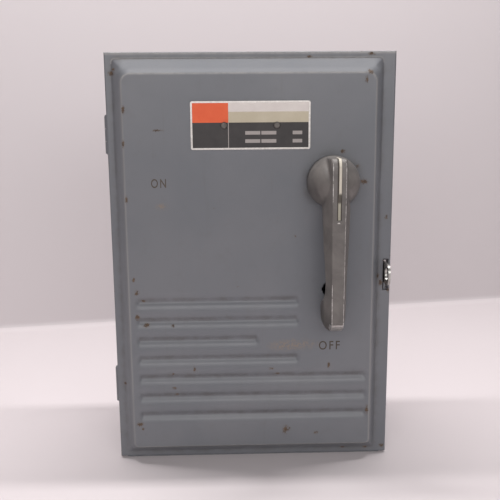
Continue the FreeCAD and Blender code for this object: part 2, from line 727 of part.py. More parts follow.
def rotor_bar():
    """A moulded bar with a collar round each blade and a journal at each end."""
    start = -92.0
    bar = rod((start, ROTOR_Y, ROTOR_Z), ROTOR_R, 34.0 - start, AXIS_X)
    collars = [rod((x - 5, ROTOR_Y, ROTOR_Z), ROTOR_R + 2, 10, AXIS_X) for x in POLES]
    journal_ends = (-98.6, CRANK_X + CRANK_T)
    journals = rod((journal_ends[0], ROTOR_Y, ROTOR_Z), JOURNAL_R, journal_ends[1] - journal_ends[0], AXIS_X)
    return at_rest(fuse(bar, journals, *collars).cut([blade(x) for x in POLES]))


def crank_end():
    swing = math.radians(ROTOR_SWING / 2)
    return (ROTOR_Y - CRANK_R * math.cos(swing), ROTOR_Z + CRANK_R * math.sin(swing))


def rotor_crank():
    arm = link_plate((ROTOR_Y, ROTOR_Z), 9.5, crank_end(), 5.5, CRANK_X, CRANK_T, "X")
    hub = rod((CRANK_X, ROTOR_Y, ROTOR_Z), JOURNAL_R, CRANK_T, AXIS_X)
    pin = rod((CRANK_X, *crank_end()), DRIVE_PIN_R - 0.6, CRANK_T, AXIS_X)
    return at_rest(arm.cut([hub, pin]))


def crank_pin():
    tail = rod((CRANK_X, *crank_end()), DRIVE_PIN_R - 0.6, CRANK_T, AXIS_X)
    start = CRANK_X + CRANK_T
    body = rod((start, *crank_end()), DRIVE_PIN_R, SLIDE_X + SLIDE_T + 1.5 - start, AXIS_X)
    return at_rest(fuse(tail, body))


# ---- door ----

PLATE_X = (-46.9, 45.1)
PLATE_Z = (259.0, 295.7)
PLATE_T = 0.8
PLATE_BORDER = 1.5
PLATE_RIVET_XS = (-21.2, 19.4)
PLATE_RIVET_R = 1.5
BUSHING_R = 9.0
BUSHING_FLANGE_R = 14.0
BUSHING_FLANGE_T = 1.6
NUT_T = 5.0
NUT_FLATS = 24.0


def inset_rectangle(inset, top_r, bottom_r, y):
    x = (-DOOR_W / 2 + inset["left"], DOOR_W / 2 - inset["right"])
    z = (DOOR_BOTTOM + inset["bottom"], DOOR_TOP - inset["top"])
    return rounded_rectangle(x, z, top_r, bottom_r, y)


def door_rise(shift):
    """The raised part of the door as one solid, moved back by shift."""
    base_y = FLANGE_FRONT + shift
    base = inset_rectangle(FLANGE, 4.0, 4.0, base_y)
    ridge = inset_rectangle(RIDGE, 5.0, 4.0, base_y - RIDGE_RISE)
    panel = inset_rectangle(PANEL, *PANEL_CORNER_RS, base_y - PANEL_RISE)
    return fuse(Part.makeLoft([base, ridge], True, True), Part.makeLoft([ridge, panel], True, True))


def door_tray():
    """The flange with its skirts: full on the top and right, short on the left, none at the bottom."""
    x = (-DOOR_W / 2, DOOR_W / 2)
    z = (DOOR_BOTTOM, DOOR_TOP)
    tray = box(x, (FLANGE_FRONT, FLANGE_BACK + DOOR_SKIRT), z)
    tray = tray.makeFillet(1.2, edges_along(tray, AXIS_Y))
    tray = tray.makeFillet(1.1, edges_in_plane(tray, FLANGE_FRONT))
    hollow = box((x[0] + SHEET, x[1] - SHEET), (FLANGE_BACK, FRONT + DOOR_SKIRT), (z[0] - 1, z[1] - SHEET))
    left_end = box((x[0] - 1, x[0] + SHEET + 1), (HINGE_Y - 0.5, FRONT + DOOR_SKIRT), (z[0] - 1, z[1] + 1))
    hinge_room = []
    for bottom in HINGE_BOTTOMS:
        room_z = (bottom - 1.4, bottom + HINGE_LENGTH + 2.0)
        hinge_room.append(box((x[0] - 1, x[0] + SHEET), (HINGE_Y - KNUCKLE_R - 0.7, HINGE_Y), room_z))
    return tray.cut([hollow, left_end] + hinge_room)


def groove_radius():
    return (GROOVE_HALF_W**2 + GROOVE_DEPTH**2) / (2 * GROOVE_DEPTH)


def groove_capsules(radius):
    """Long capsules whose lower caps press into the panel from in front."""
    centre_y = PANEL_FRONT + GROOVE_DEPTH - groove_radius()
    shapes = []
    for index, right in enumerate(GROOVE_RIGHTS):
        z = GROOVE_TOP_Z - index * GROOVE_PITCH
        left_x = GROOVE_LEFT + GROOVE_HALF_W - DOOR_W / 2
        right_x = right - GROOVE_HALF_W - DOOR_W / 2
        barrel = rod((left_x, centre_y, z), radius, right_x - left_x, AXIS_X)
        ends = [Part.makeSphere(radius, Vector(x, centre_y, z)) for x in (left_x, right_x)]
        shapes.append(barrel.fuse(ends))
    return shapes


def door_cover():
    cover = fuse(door_tray(), door_rise(0)).cut(door_rise(SHEET))
    behind = box((-DOOR_W / 2, DOOR_W / 2), (PANEL_BACK - 0.2, FLANGE_FRONT), (DOOR_BOTTOM, DOOR_TOP))
    bumps = [shape.common(behind) for shape in groove_capsules(groove_radius() + SHEET)]
    cover = cover.fuse(bumps)
    cuts = groove_capsules(groove_radius())
    cuts.append(box(SLOT_X, (FLANGE_FRONT, FLANGE_BACK), SLOT_Z))
    cuts.append(rod((HANDLE_X, PANEL_FRONT, HANDLE_Z), BUSHING_R, SHEET, AXIS_Y))
    cuts.append(rod((HANDLE_X, PANEL_FRONT, LOCK_HOLE_Z), LOCK_HOLE_R, SHEET, AXIS_Y))
    for x in PLATE_RIVET_XS:
        cuts.append(rod((x, PANEL_FRONT, sum(PLATE_Z) / 2), PLATE_RIVET_R, SHEET, AXIS_Y))
    return cover.cut(cuts)


def hinge_door_leaves():
    """The door's half of each hinge, welded inside the left skirt."""
    inner = -DOOR_W / 2 + SHEET
    leaves = []
    for bottom in HINGE_BOTTOMS:
        middle = middle_third(bottom, -0.2)
        plate_z = (bottom, bottom + HINGE_LENGTH)
        plate = box((inner, inner + LEAF_T), (FLANGE_BACK, HINGE_Y - KNUCKLE_R - 0.8), plate_z)
        arm = box((inner, inner + LEAF_T), (HINGE_Y - KNUCKLE_R - 1, HINGE_Y - 0.2), middle)
        neck = box((HINGE_X, inner + LEAF_T), (HINGE_Y - 1.4, HINGE_Y - 0.2), middle)
        leaf = fuse(plate, arm, neck, *hinge_knuckles(bottom, (1,)))
        leaves.append(leaf.cut(hinge_pin_hole(bottom, HINGE_PIN_R + RUNNING)))
    return group(leaves)


def nameplate():
    """A thin plate with a raised border, held by two rivets. Its face is left blank."""
    plate = box(PLATE_X, (PANEL_FRONT - PLATE_T, PANEL_FRONT), PLATE_Z)
    plate = plate.makeFillet(1.5, edges_along(plate, AXIS_Y))
    inner_x = (PLATE_X[0] + PLATE_BORDER, PLATE_X[1] - PLATE_BORDER)
    inner_z = (PLATE_Z[0] + PLATE_BORDER, PLATE_Z[1] - PLATE_BORDER)
    field = box(inner_x, (PANEL_FRONT - PLATE_T, PANEL_FRONT - PLATE_T + 0.3), inner_z)
    middle = sum(PLATE_Z) / 2
    start = PANEL_FRONT - PLATE_T
    holes = [rod((x, start, middle), PLATE_RIVET_R, PLATE_T, AXIS_Y) for x in PLATE_RIVET_XS]
    return plate.cut([field] + holes)


def nameplate_rivets():
    rivets = []
    for x in PLATE_RIVET_XS:
        z = sum(PLATE_Z) / 2
        face = PANEL_FRONT - PLATE_T
        shank = rod((x, face, z), PLATE_RIVET_R, PLATE_T + SHEET, AXIS_Y)
        head = rod((x, face - 1.0, z), 2.6, 1.3, AXIS_Y)
        rim = [e for e in head.Edges if abs(e.BoundBox.YMax - (face - 1.0)) < 0.01]
        tail = rod((x, PANEL_BACK, z), 2.4, 0.9, AXIS_Y)
        head = head.makeFillet(0.8, rim).cut(nameplate())
        rivets.append(fuse(shank, head, tail))
    return group(rivets)


def shaft_bushing():
    """A flanged sleeve clamped in the door panel, in which the handle's shaft turns."""
    bore = SHAFT_R + RUNNING
    start = PANEL_FRONT - BUSHING_FLANGE_T
    flange = ring((HANDLE_X, start, HANDLE_Z), bore, BUSHING_FLANGE_R, BUSHING_FLANGE_T, AXIS_Y)
    barrel = ring((HANDLE_X, start, HANDLE_Z), bore, BUSHING_R, BUSHING_FLANGE_T + SHEET + NUT_T + 1, AXIS_Y)
    return fuse(flange, barrel)


def bushing_nut():
    radius = NUT_FLATS / math.sqrt(3)
    corners = []
    for index in range(6):
        angle = math.radians(60 * index)
        corners.append((HANDLE_X + radius * math.cos(angle), HANDLE_Z + radius * math.sin(angle)))
    nut = flat_plate(corners, PANEL_BACK, NUT_T, "Y")
    return nut.cut(rod((HANDLE_X, PANEL_BACK, HANDLE_Z), BUSHING_R, NUT_T, AXIS_Y))


def wiring_card():
    """A blank card stuck inside the door."""
    return box((-92, 18), (PANEL_BACK, PANEL_BACK + 0.4), (150, 246))


# ---- handle ----

HUB_BACK = PANEL_FRONT - HUB_CLEAR
HUB_TOP = HUB_BACK - HUB_H
RIDGE_Y = PANEL_FRONT - 40.0
RIDGE_HALF_W = (5.1, 4.5)
FLANK_HALF_W = (10.8, 8.2)
FLANK_DRAFT = (0.50, 0.20)
ARM_TOP_Z = HANDLE_Z + 6.0
ARM_END_Z = 118.0
CROWN_Z = HANDLE_Z + HUB_R + 0.5
CROWN_TURN_R = HUB_R - 0.4
CROWN_R = 8.0
POINTER_HALF_W = 1.7
POINTER_DEPTH = 1.4
POINTER_END_Z = 208.6
POINTER_BACK_Y = -85.0
INLAY_SINK = 0.5


def hub(sink):
    """The hub, with its skin moved in by sink: a short rim, then a steep dome with a small flat on top."""
    rim = Vector(HANDLE_X + HUB_R - sink, HUB_BACK - HUB_RIM_H, HANDLE_Z)
    waist = Vector(HANDLE_X + HUB_WAIST[0] - sink, HUB_BACK - HUB_WAIST[1], HANDLE_Z)
    crest = Vector(HANDLE_X + HUB_FLAT_R, HUB_TOP + sink, HANDLE_Z)
    start = Vector(rim.x, HUB_BACK, HANDLE_Z)
    centre_top = Vector(HANDLE_X, crest.y, HANDLE_Z)
    centre_back = Vector(HANDLE_X, HUB_BACK, HANDLE_Z)
    edges = [
        Part.makeLine(start, rim),
        Part.Arc(rim, waist, crest).toShape(),
        Part.makeLine(crest, centre_top),
        Part.makeLine(centre_top, centre_back),
        Part.makeLine(centre_back, start),
    ]
    return Part.Face(Part.Wire(edges)).revolve(centre_back, AXIS_Y, 360)


def flank_section(z, end):
    """One cross-section of the lever, with drafted flanks that end in upright sides: 0 is its top end, 1 its tip."""
    ridge, half = RIDGE_HALF_W[end], FLANK_HALF_W[end]
    shoulder = RIDGE_Y + (half - ridge) / FLANK_DRAFT[end]
    outline = [
        (-half, HUB_BACK),
        (-half, shoulder),
        (-ridge, RIDGE_Y),
        (ridge, RIDGE_Y),
        (half, shoulder),
        (half, HUB_BACK),
    ]
    corners = [Vector(HANDLE_X + x, y, z) for x, y in outline]
    return Part.makePolygon(corners + corners[:1])


def arm_profile(sink):
    """The lever seen from the side: over the hub, held off the door below it, with a deep lug at its end."""
    crown = CROWN_Z - sink
    outline = [
        (HUB_BACK - 5, crown),
        (RIDGE_Y + sink, crown),
        (RIDGE_Y + sink, 129.0),
        (RIDGE_Y + 5.0, 123.6),
        (-88.0, 120.4),
        (-76.0, ARM_END_Z),
        (-68.0, 122.5),
        (-67.0, 126.0),
        (-67.0, 135.0),
        (-87.0, 144.0),
        (-92.0, 152.0),
        (-92.0, 170.0),
        (-87.0, 202.0),
        (-80.0, ARM_TOP_Z),
        (HUB_BACK - 5, ARM_TOP_Z),
    ]
    profile = flat_plate(outline, HANDLE_X - HUB_R, 2 * HUB_R, "X")
    front = edges_along(profile, AXIS_X, lambda middle: middle.z > crown - 0.1 and middle.y < -90)
    profile = profile.makeFillet(CROWN_R, front)
    lowest = edges_along(profile, AXIS_X, lambda middle: middle.z < ARM_END_Z + 0.1)
    return profile.makeFillet(5.0, lowest)


def lever(sink):
    """The hub and the arm that runs over it in one casting, with the dome and the ridge moved in by sink."""
    sections = [flank_section(ARM_END_Z, 1), flank_section(CROWN_Z, 0)]
    arm = Part.makeLoft(sections, True, True).common(arm_profile(sink))
    depth = (RIDGE_Y - 1, HUB_BACK)
    below = box((HANDLE_X - HUB_R, HANDLE_X + HUB_R), depth, (ARM_END_Z - 1, HANDLE_Z))
    round_top = rod((HANDLE_X, depth[0], HANDLE_Z), CROWN_TURN_R - sink, depth[1] - depth[0], AXIS_Y)
    return fuse(hub(sink), arm.common(below), arm.common(round_top))


def pointer_strip():
    x = (HANDLE_X - POINTER_HALF_W, HANDLE_X + POINTER_HALF_W)
    return box(x, (RIDGE_Y - 1, POINTER_BACK_Y), (POINTER_END_Z, CROWN_Z + 1))


def operating_handle():
    """A die-cast lever with a groove along its top that shows which way it points."""
    bore = rod((HANDLE_X, HUB_BACK - SHAFT_BORE_DEPTH, HANDLE_Z), SHAFT_R, SHAFT_BORE_DEPTH, AXIS_Y)
    pin_hole = rod((HANDLE_X - HUB_R, HUB_BACK - HUB_PIN_BACK, HANDLE_Z), HUB_PIN_R, 2 * HUB_R, AXIS_X)
    groove = pointer_strip().cut(lever(POINTER_DEPTH))
    return lever(0).cut([bore, pin_hole, groove])


def pointer_inlay():
    """Paint that fills the groove to just below the metal."""
    return pointer_strip().common(lever(INLAY_SINK)).cut(lever(POINTER_DEPTH))


DRIVE_CRANK_Y = -38.0
DRIVE_CRANK_T = 3.0
HOOK_Y = -43.0
HOOK_T = 2.0
HOOK_REACH = 39.5


def handle_shaft():
    start = HUB_BACK - SHAFT_BORE_DEPTH
    end = DRIVE_CRANK_Y + DRIVE_CRANK_T
    pin_hole = rod((HANDLE_X - SHAFT_R, HUB_BACK - HUB_PIN_BACK, HANDLE_Z), HUB_PIN_R, 2 * SHAFT_R, AXIS_X)
    return rod((HANDLE_X, start, HANDLE_Z), SHAFT_R, end - start, AXIS_Y).cut(pin_hole)


def hub_pin():
    length = 2 * (HUB_R - 1.5)
    return rod((HANDLE_X - length / 2, HUB_BACK - HUB_PIN_BACK, HANDLE_Z), HUB_PIN_R, length, AXIS_X)


def retaining_ring():
    start_y = PANEL_BACK + NUT_T + 1.4
    full = ring((HANDLE_X, start_y, HANDLE_Z), SHAFT_R, SHAFT_R + 3.0, 1.0, AXIS_Y)
    mouth = box((HANDLE_X - 3.5, HANDLE_X + 3.5), (start_y, start_y + 1), (HANDLE_Z - 12, HANDLE_Z))
    return full.cut(mouth)


def drive_pin_place():
    reach = DRIVE_R * math.sin(math.radians(45))
    return (HANDLE_X - reach, HANDLE_Z - reach)


def drive_crank():
    arm = link_plate((HANDLE_X, HANDLE_Z), 11.0, drive_pin_place(), 6.0, DRIVE_CRANK_Y, DRIVE_CRANK_T, "Y")
    x, z = drive_pin_place()
    hub = rod((HANDLE_X, DRIVE_CRANK_Y, HANDLE_Z), SHAFT_R, DRIVE_CRANK_T, AXIS_Y)
    return arm.cut([hub, rod((x, DRIVE_CRANK_Y, z), DRIVE_PIN_R, DRIVE_CRANK_T, AXIS_Y)])


def drive_pin():
    x, z = drive_pin_place()
    end = SLIDE_FRONT - YOKE_WEB - 0.8
    return rod((x, DRIVE_CRANK_Y, z), DRIVE_PIN_R, end - DRIVE_CRANK_Y, AXIS_Y)


def interlock_hook():
    """A tongue on the shaft: it points up when the switch is off and lies behind the keeper when on."""
    hub = rod((HANDLE_X, HOOK_Y, HANDLE_Z), 11.0, HOOK_T, AXIS_Y)
    tongue = box((HANDLE_X - 6, HANDLE_X + 6), (HOOK_Y, HOOK_Y + HOOK_T), (HANDLE_Z, HANDLE_Z + HOOK_REACH))
    top = edges_along(tongue, AXIS_Y, lambda middle: middle.z > HANDLE_Z + 1)
    tongue = tongue.makeFillet(4.0, top)
    return fuse(hub, tongue).cut(rod((HANDLE_X, HOOK_Y, HANDLE_Z), SHAFT_R, HOOK_T, AXIS_Y))


# ---- files ----


def parts():
    """Every node and its shape."""
    return {
        "enclosure_body": enclosure_body(),
        "knockout_discs": knockout_discs(),
        "hinge_case_leaves": hinge_case_leaves(),
        "hinge_pins": hinge_pins(),
        "padlock_hasp": padlock_hasp(),
        "hasp_rivets": side_rivets([(HASP_RIVET_Y, z) for z in HASP_RIVET_ZS], SIDE_INNER - HASP_T),
        "mounting_pan": mounting_pan(),
        "pan_spacers": pan_spacers(),
        "pan_screws": pan_screws(),
        "line_base": insulating_base(LINE_BASE_Z),
        "fuse_base": insulating_base(FUSE_BASE_Z),
        "base_screws": base_screws(),
        "line_barriers": group(barriers(LINE_BASE_Z)),
        "fuse_barriers": group(barriers(FUSE_BASE_Z)),
        "line_shield": line_shield(),
        "line_jaws": line_jaws(),
        "fuse_jaws": fuse_jaws(),
        "line_lugs": group(wire_lug(x, LINE_LUG_Z) for x in POLES),
        "load_lugs": group(wire_lug(x, LOAD_LUG_Z) for x in POLES),
        "lug_screws": lug_screws(),
        "upper_fuse_clips": upper_fuse_clips(),
        "lower_fuse_clips": lower_fuse_clips(),
        "fuse_tubes": fuse_tubes(),
        "fuse_ferrules": fuse_ferrules(),
        "mechanism_bracket": mechanism_bracket(),
        "bearing_bracket": bearing_bracket(),
        "bracket_screws": bracket_screws(),
        "rotor_bushes": rotor_bushes(),
        "guide_studs": guide_studs(),
        "opening_spring": opening_spring(),
        "interlock_keeper": interlock_keeper(),
        "keeper_rivets": side_rivets([(KEEPER_Y, z) for z in KEEPER_RIVET_ZS], SIDE_INNER - KEEPER_T),
        "ground_bar": ground_bar(),
        "ground_screws": ground_screws(),
        "slide_plate": slide_plate(),
        "slide_yoke": slide_yoke(),
        "rotor_bar": rotor_bar(),
        "moving_blades": moving_blades(),
        "rotor_crank": rotor_crank(),
        "crank_pin": crank_pin(),
        "door_cover": door_cover(),
        "hinge_door_leaves": hinge_door_leaves(),
        "nameplate": nameplate(),
        "nameplate_rivets": nameplate_rivets(),
        "shaft_bushing": shaft_bushing(),
        "bushing_nut": bushing_nut(),
        "wiring_card": wiring_card(),
        "operating_handle": operating_handle(),
        "pointer_inlay": pointer_inlay(),
        "handle_shaft": handle_shaft(),
        "hub_pin": hub_pin(),
        "retaining_ring": retaining_ring(),
        "drive_crank": drive_crank(),
        "drive_pin": drive_pin(),
        "interlock_hook": interlock_hook(),
    }


os.makedirs("parts", exist_ok=True)
for name, shape in parts().items():
    shape.exportStep(f"parts/{name}.step")
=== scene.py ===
import json
import math

import bmesh
import bpy
import numpy as np
from mathutils import Euler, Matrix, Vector


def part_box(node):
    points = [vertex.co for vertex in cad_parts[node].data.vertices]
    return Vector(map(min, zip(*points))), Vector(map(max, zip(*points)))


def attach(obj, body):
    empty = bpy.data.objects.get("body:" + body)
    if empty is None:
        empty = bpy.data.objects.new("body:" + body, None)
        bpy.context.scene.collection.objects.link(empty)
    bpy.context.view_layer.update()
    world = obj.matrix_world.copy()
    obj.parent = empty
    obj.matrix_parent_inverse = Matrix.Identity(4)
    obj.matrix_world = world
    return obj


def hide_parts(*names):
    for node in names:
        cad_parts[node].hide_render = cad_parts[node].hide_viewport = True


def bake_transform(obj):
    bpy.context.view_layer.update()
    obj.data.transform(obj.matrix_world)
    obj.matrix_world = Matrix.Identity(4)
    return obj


# The looks of a wall-mounted disconnect switch. Shapes are worked out in millimetres in the row frame
# (+X right, +Y back, +Z up) and scaled to metres when a mesh is made.

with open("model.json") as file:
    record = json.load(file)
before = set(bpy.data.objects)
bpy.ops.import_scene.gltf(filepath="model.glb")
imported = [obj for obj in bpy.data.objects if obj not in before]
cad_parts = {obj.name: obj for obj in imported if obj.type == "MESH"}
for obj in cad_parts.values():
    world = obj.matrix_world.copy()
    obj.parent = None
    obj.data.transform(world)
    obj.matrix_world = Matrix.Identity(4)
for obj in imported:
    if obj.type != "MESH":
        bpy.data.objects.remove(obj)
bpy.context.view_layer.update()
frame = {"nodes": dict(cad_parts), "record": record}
MM = 0.001


def bounds_mm(node):
    low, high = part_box(node)
    return low / MM, high / MM


DOOR_LOW, DOOR_HIGH = bounds_mm("door_cover")
HANDLE_LOW, HANDLE_HIGH = bounds_mm("operating_handle")
FLANGE_Y = -54.5
HUB_X = 62.5
HUB_Z = 234.0


# ---- node graphs ----


class Graph:
    """A material's nodes, written as nested calls. Coordinates are object coordinates in millimetres."""

    def __init__(self, name):
        self.material = bpy.data.materials.new(name)
        self.material.use_nodes = True
        self.tree = self.material.node_tree
        self.tree.nodes.clear()
        self.output = self.tree.nodes.new("ShaderNodeOutputMaterial")
        self.shader = self.tree.nodes.new("ShaderNodeBsdfPrincipled")
        self.tree.links.new(self.shader.outputs[0], self.output.inputs[0])
        texture = self.tree.nodes.new("ShaderNodeTexCoord")
        scale = self.tree.nodes.new("ShaderNodeVectorMath")
        scale.operation = "SCALE"
        scale.inputs["Scale"].default_value = 1000.0
        self.tree.links.new(texture.outputs["Object"], scale.inputs[0])
        self.place = scale.outputs[0]
        split = self.tree.nodes.new("ShaderNodeSeparateXYZ")
        self.tree.links.new(self.place, split.inputs[0])
        self.x, self.y, self.z = split.outputs

    def put(self, socket, value):
        if isinstance(value, bpy.types.NodeSocket):
            self.tree.links.new(value, socket)
        elif isinstance(value, (tuple, list)) and len(value) == 3 and socket.type == "RGBA":
            socket.default_value = (*value, 1.0)
        else:
            socket.default_value = value

    def math(self, operation, a, b=0.0, c=0.0, clamp=False):
        node = self.tree.nodes.new("ShaderNodeMath")
        node.operation = operation
        node.use_clamp = clamp
        for socket, value in zip(node.inputs, (a, b, c)):
            self.put(socket, value)
        return node.outputs[0]

    def add(self, a, b):
        return self.math("ADD", a, b)

    def times(self, a, b):
        return self.math("MULTIPLY", a, b)

    def most(self, *values):
        total = values[0]
        for value in values[1:]:
            total = self.math("MAXIMUM", total, value)
        return total

    def stretched(self, x, y, z):
        node = self.tree.nodes.new("ShaderNodeVectorMath")
        node.operation = "MULTIPLY"
        self.tree.links.new(self.place, node.inputs[0])
        node.inputs[1].default_value = (x, y, z)
        return node.outputs[0]

    def noise(self, size, detail=4.0, rough=0.55, warp=0.0, place=None, seed=0.0):
        """Cloud noise from 0 to 1 whose features are about size millimetres across."""
        node = self.tree.nodes.new("ShaderNodeTexNoise")
        node.noise_dimensions = "4D"
        node.inputs["W"].default_value = seed
        self.tree.links.new(place or self.place, node.inputs["Vector"])
        node.inputs["Scale"].default_value = 1.0 / size
        node.inputs["Detail"].default_value = detail
        node.inputs["Roughness"].default_value = rough
        node.inputs["Distortion"].default_value = warp
        return node.outputs[0]

    def step(self, value, low, high, to_low=0.0, to_high=1.0):
        """A smooth step from to_low at low to to_high at high."""
        node = self.tree.nodes.new("ShaderNodeMapRange")
        node.interpolation_type = "SMOOTHSTEP"
        self.put(node.inputs["Value"], value)
        node.inputs["From Min"].default_value = low
        node.inputs["From Max"].default_value = high
        node.inputs["To Min"].default_value = to_low
        node.inputs["To Max"].default_value = to_high
        return node.outputs[0]

    def mix(self, share, a, b):
        node = self.tree.nodes.new("ShaderNodeMix")
        node.data_type = "RGBA"
        self.put(node.inputs[0], share)
        self.put(node.inputs[6], a)
        self.put(node.inputs[7], b)
        return node.outputs[2]

    def attribute(self, name):
        node = self.tree.nodes.new("ShaderNodeAttribute")
        node.attribute_name = name
        return node.outputs["Fac"]

    def bump(self, height, depth_mm, normal=None):
        node = self.tree.nodes.new("ShaderNodeBump")
        node.inputs["Distance"].default_value = depth_mm * MM
        self.tree.links.new(height, node.inputs["Height"])
        if normal is not None:
            self.tree.links.new(normal, node.inputs["Normal"])
        return node.outputs[0]

    def window(self, value, low, high, soft=0.15):
        """1 between low and high, 0 outside."""
        rise = self.step(value, low - soft, low + soft)
        fall = self.step(value, high - soft, high + soft, 1.0, 0.0)
        return self.times(rise, fall)

    def finish(self, **sockets):
        for name, value in sockets.items():
            self.put(self.shader.inputs[name.replace("_", " ")], value)
        return self.material


# ---- materials ----

RUST_DARK = (0.072, 0.048, 0.033)
RUST_LIGHT = (0.150, 0.100, 0.066)


def rust_colour(g):
    blotch = g.noise(3.0, 6.0, 0.7, seed=3.0)
    return g.mix(g.step(blotch, 0.35, 0.7), RUST_DARK, RUST_LIGHT)


def enamel(name, worn):
    """Old blue-grey enamel: faint clouding, scratches, and rust where the mesh says the paint is gone."""
    g = Graph(name)
    cloud = g.noise(70.0, 3.0, 0.5, 0.6, seed=1.0)
    mottle = g.noise(9.0, 5.0, 0.6, seed=2.0)
    paint = g.mix(g.step(cloud, 0.3, 0.7), (0.150, 0.158, 0.174), (0.168, 0.173, 0.187))
    paint = g.mix(g.times(g.step(mottle, 0.52, 0.8), 0.22), paint, (0.128, 0.124, 0.125))
    streaks = g.noise(5.0, 3.0, 0.6, place=g.stretched(1.0, 1.0, 0.06), seed=4.0)
    paint = g.mix(g.times(g.step(streaks, 0.6, 0.8), 0.18), paint, (0.118, 0.108, 0.098))
    fine = g.noise(0.9, 6.0, 0.65, seed=5.0)
    edge = g.noise(1.7, 6.0, 0.75, 0.4, seed=6.0)
    if worn:
        chips = g.add(g.times(g.attribute("chip"), 0.9), g.times(g.add(edge, -0.5), 1.9))
        rubbed = g.add(g.times(g.attribute("edge"), 1.0), g.times(g.add(edge, -0.62), 1.6))
        # Painted shade with dirt: the paint is darkened in the cove's foot, along the grooves' upper
        # shoulders, round the hub's base and on the scuffs.
        grime_and_shade = g.times(g.attribute("grime_and_shade"), g.step(mottle, 0.25, 0.75))
        paint = g.mix(g.times(grime_and_shade, 0.45), paint, (0.062, 0.050, 0.040))
        # Painted highlight with wear: pale lines round the panel's edge, brighter at the top, and along the
        # top bend and the flange's foot.
        rub_and_highlight = g.times(g.attribute("rub"), g.step(streaks, 0.3, 0.6, 0.55, 0.9))
        paint = g.mix(rub_and_highlight, paint, (0.300, 0.292, 0.285))
        speckled = g.times(g.attribute("scuff"), g.step(edge, 0.46, 0.56))
        paint = g.mix(g.times(speckled, 1.2), paint, (0.225, 0.180, 0.145))
        bare = g.most(g.step(chips, 0.50, 0.62), g.step(rubbed, 0.74, 0.84))
        halo = g.times(g.step(chips, 0.25, 0.50), g.step(g.attribute("chip"), 0.0, 0.2))
    else:
        specks = g.noise(6.0, 6.0, 0.75, seed=7.0)
        bare = g.step(specks, 0.735, 0.76)
        halo = g.step(specks, 0.68, 0.74)
    random_specks = g.noise(4.0, 6.0, 0.8, seed=8.0)
    bare = g.most(bare, g.step(random_specks, 0.772, 0.785))
    paint = g.mix(g.times(halo, 0.35), paint, (0.125, 0.092, 0.068))
    colour = g.mix(bare, paint, rust_colour(g))
    scratch = g.noise(1.2, 2.0, 0.5, place=g.stretched(0.05, 1.0, 1.0), seed=9.0)
    rough = g.add(g.step(mottle, 0.2, 0.8, 0.33, 0.43), g.times(g.step(scratch, 0.7, 0.8), 0.08))
    rough = g.math("ADD", rough, g.times(bare, 0.38), clamp=True)
    orange_peel = g.noise(1.6, 2.0, 0.5, seed=10.0)
    height = g.add(g.times(orange_peel, 0.25), g.times(fine, g.times(bare, 0.6)))
    height = g.add(height, g.times(bare, -1.0))
    normal = g.bump(height, 0.10)
    return g.finish(Base_Color=colour, Roughness=rough, Metallic=0.0, Normal=normal, Specular_IOR_Level=0.5)


def cast_handle():
    """Grey paint over die-cast metal: the paint is thin along the ridge and gone on the tip."""
    g = Graph("cast_handle")
    cloud = g.noise(14.0, 5.0, 0.6, 0.5, seed=11.0)
    grain = g.noise(0.8, 5.0, 0.7, seed=12.0)
    paint = g.mix(g.step(cloud, 0.3, 0.7), (0.118, 0.108, 0.102), (0.176, 0.162, 0.152))
    rubbing = g.noise(3.0, 6.0, 0.7, 0.3, seed=13.0)
    exposed = g.add(g.attribute("edge"), g.times(g.add(rubbing, -0.55), 1.2))
    bare = g.step(exposed, 0.50, 0.85)
    metal = g.mix(g.step(grain, 0.3, 0.7), (0.50, 0.48, 0.46), (0.76, 0.74, 0.72))
    pits = g.step(g.noise(2.2, 6.0, 0.75, seed=14.0), 0.70, 0.74)
    colour = g.mix(bare, paint, metal)
    colour = g.mix(g.times(pits, 0.7), colour, (0.060, 0.050, 0.042))
    # Painted shade with dirt: the grey is darkened towards the door, down the lug and in hollow creases.
    dirt = g.times(g.attribute("grime_and_shade"), g.step(cloud, 0.2, 0.6))
    colour = g.mix(g.times(dirt, 0.6), colour, (0.040, 0.034, 0.030))
    rough = g.add(g.step(cloud, 0.2, 0.8, 0.42, 0.56), g.times(pits, 0.3))
    height = g.add(g.times(grain, 0.35), g.times(pits, -1.0))
    height = g.add(height, g.times(g.noise(4.0, 3.0, 0.5, seed=15.0), 0.8))
    shine = g.add(0.15, g.times(bare, 0.75))
    return g.finish(Base_Color=colour, Roughness=rough, Metallic=shine, Normal=g.bump(height, 0.12))


def pointer_paint():
    """Cream paint in the lever's groove, brown with dirt where fingers press, with painted shade down the
    groove's left side.
    """
    g = Graph("pointer_paint")
    blotch = g.noise(3.0, 6.0, 0.7, 0.4, seed=16.0)
    across = g.math("SUBTRACT", g.x, g.step(g.z, 220.0, 230.0, HUB_X, HUB_X + 0.55))
    # Painted shade with dirt: left of this line the groove is dark, as shade falls in it.
    cream_side = g.window(across, -0.95, 0.95, 0.25)
    band = g.window(g.z, 221.0, 228.0, 1.2)
    dirt_and_groove_shade = g.most(g.math("SUBTRACT", 1.0, cream_side), g.times(band, 0.9), g.step(blotch, 0.58, 0.75, 0.0, 0.7))
    cream = g.mix(g.step(g.z, 216.0, 232.0), (0.36, 0.34, 0.27), (0.62, 0.57, 0.48))
    colour = g.mix(dirt_and_groove_shade, cream, (0.038, 0.029, 0.022))
    rough = g.step(blotch, 0.2, 0.8, 0.45, 0.75)
    return g.finish(Base_Color=colour, Roughness=rough, Normal=g.bump(blotch, 0.15))


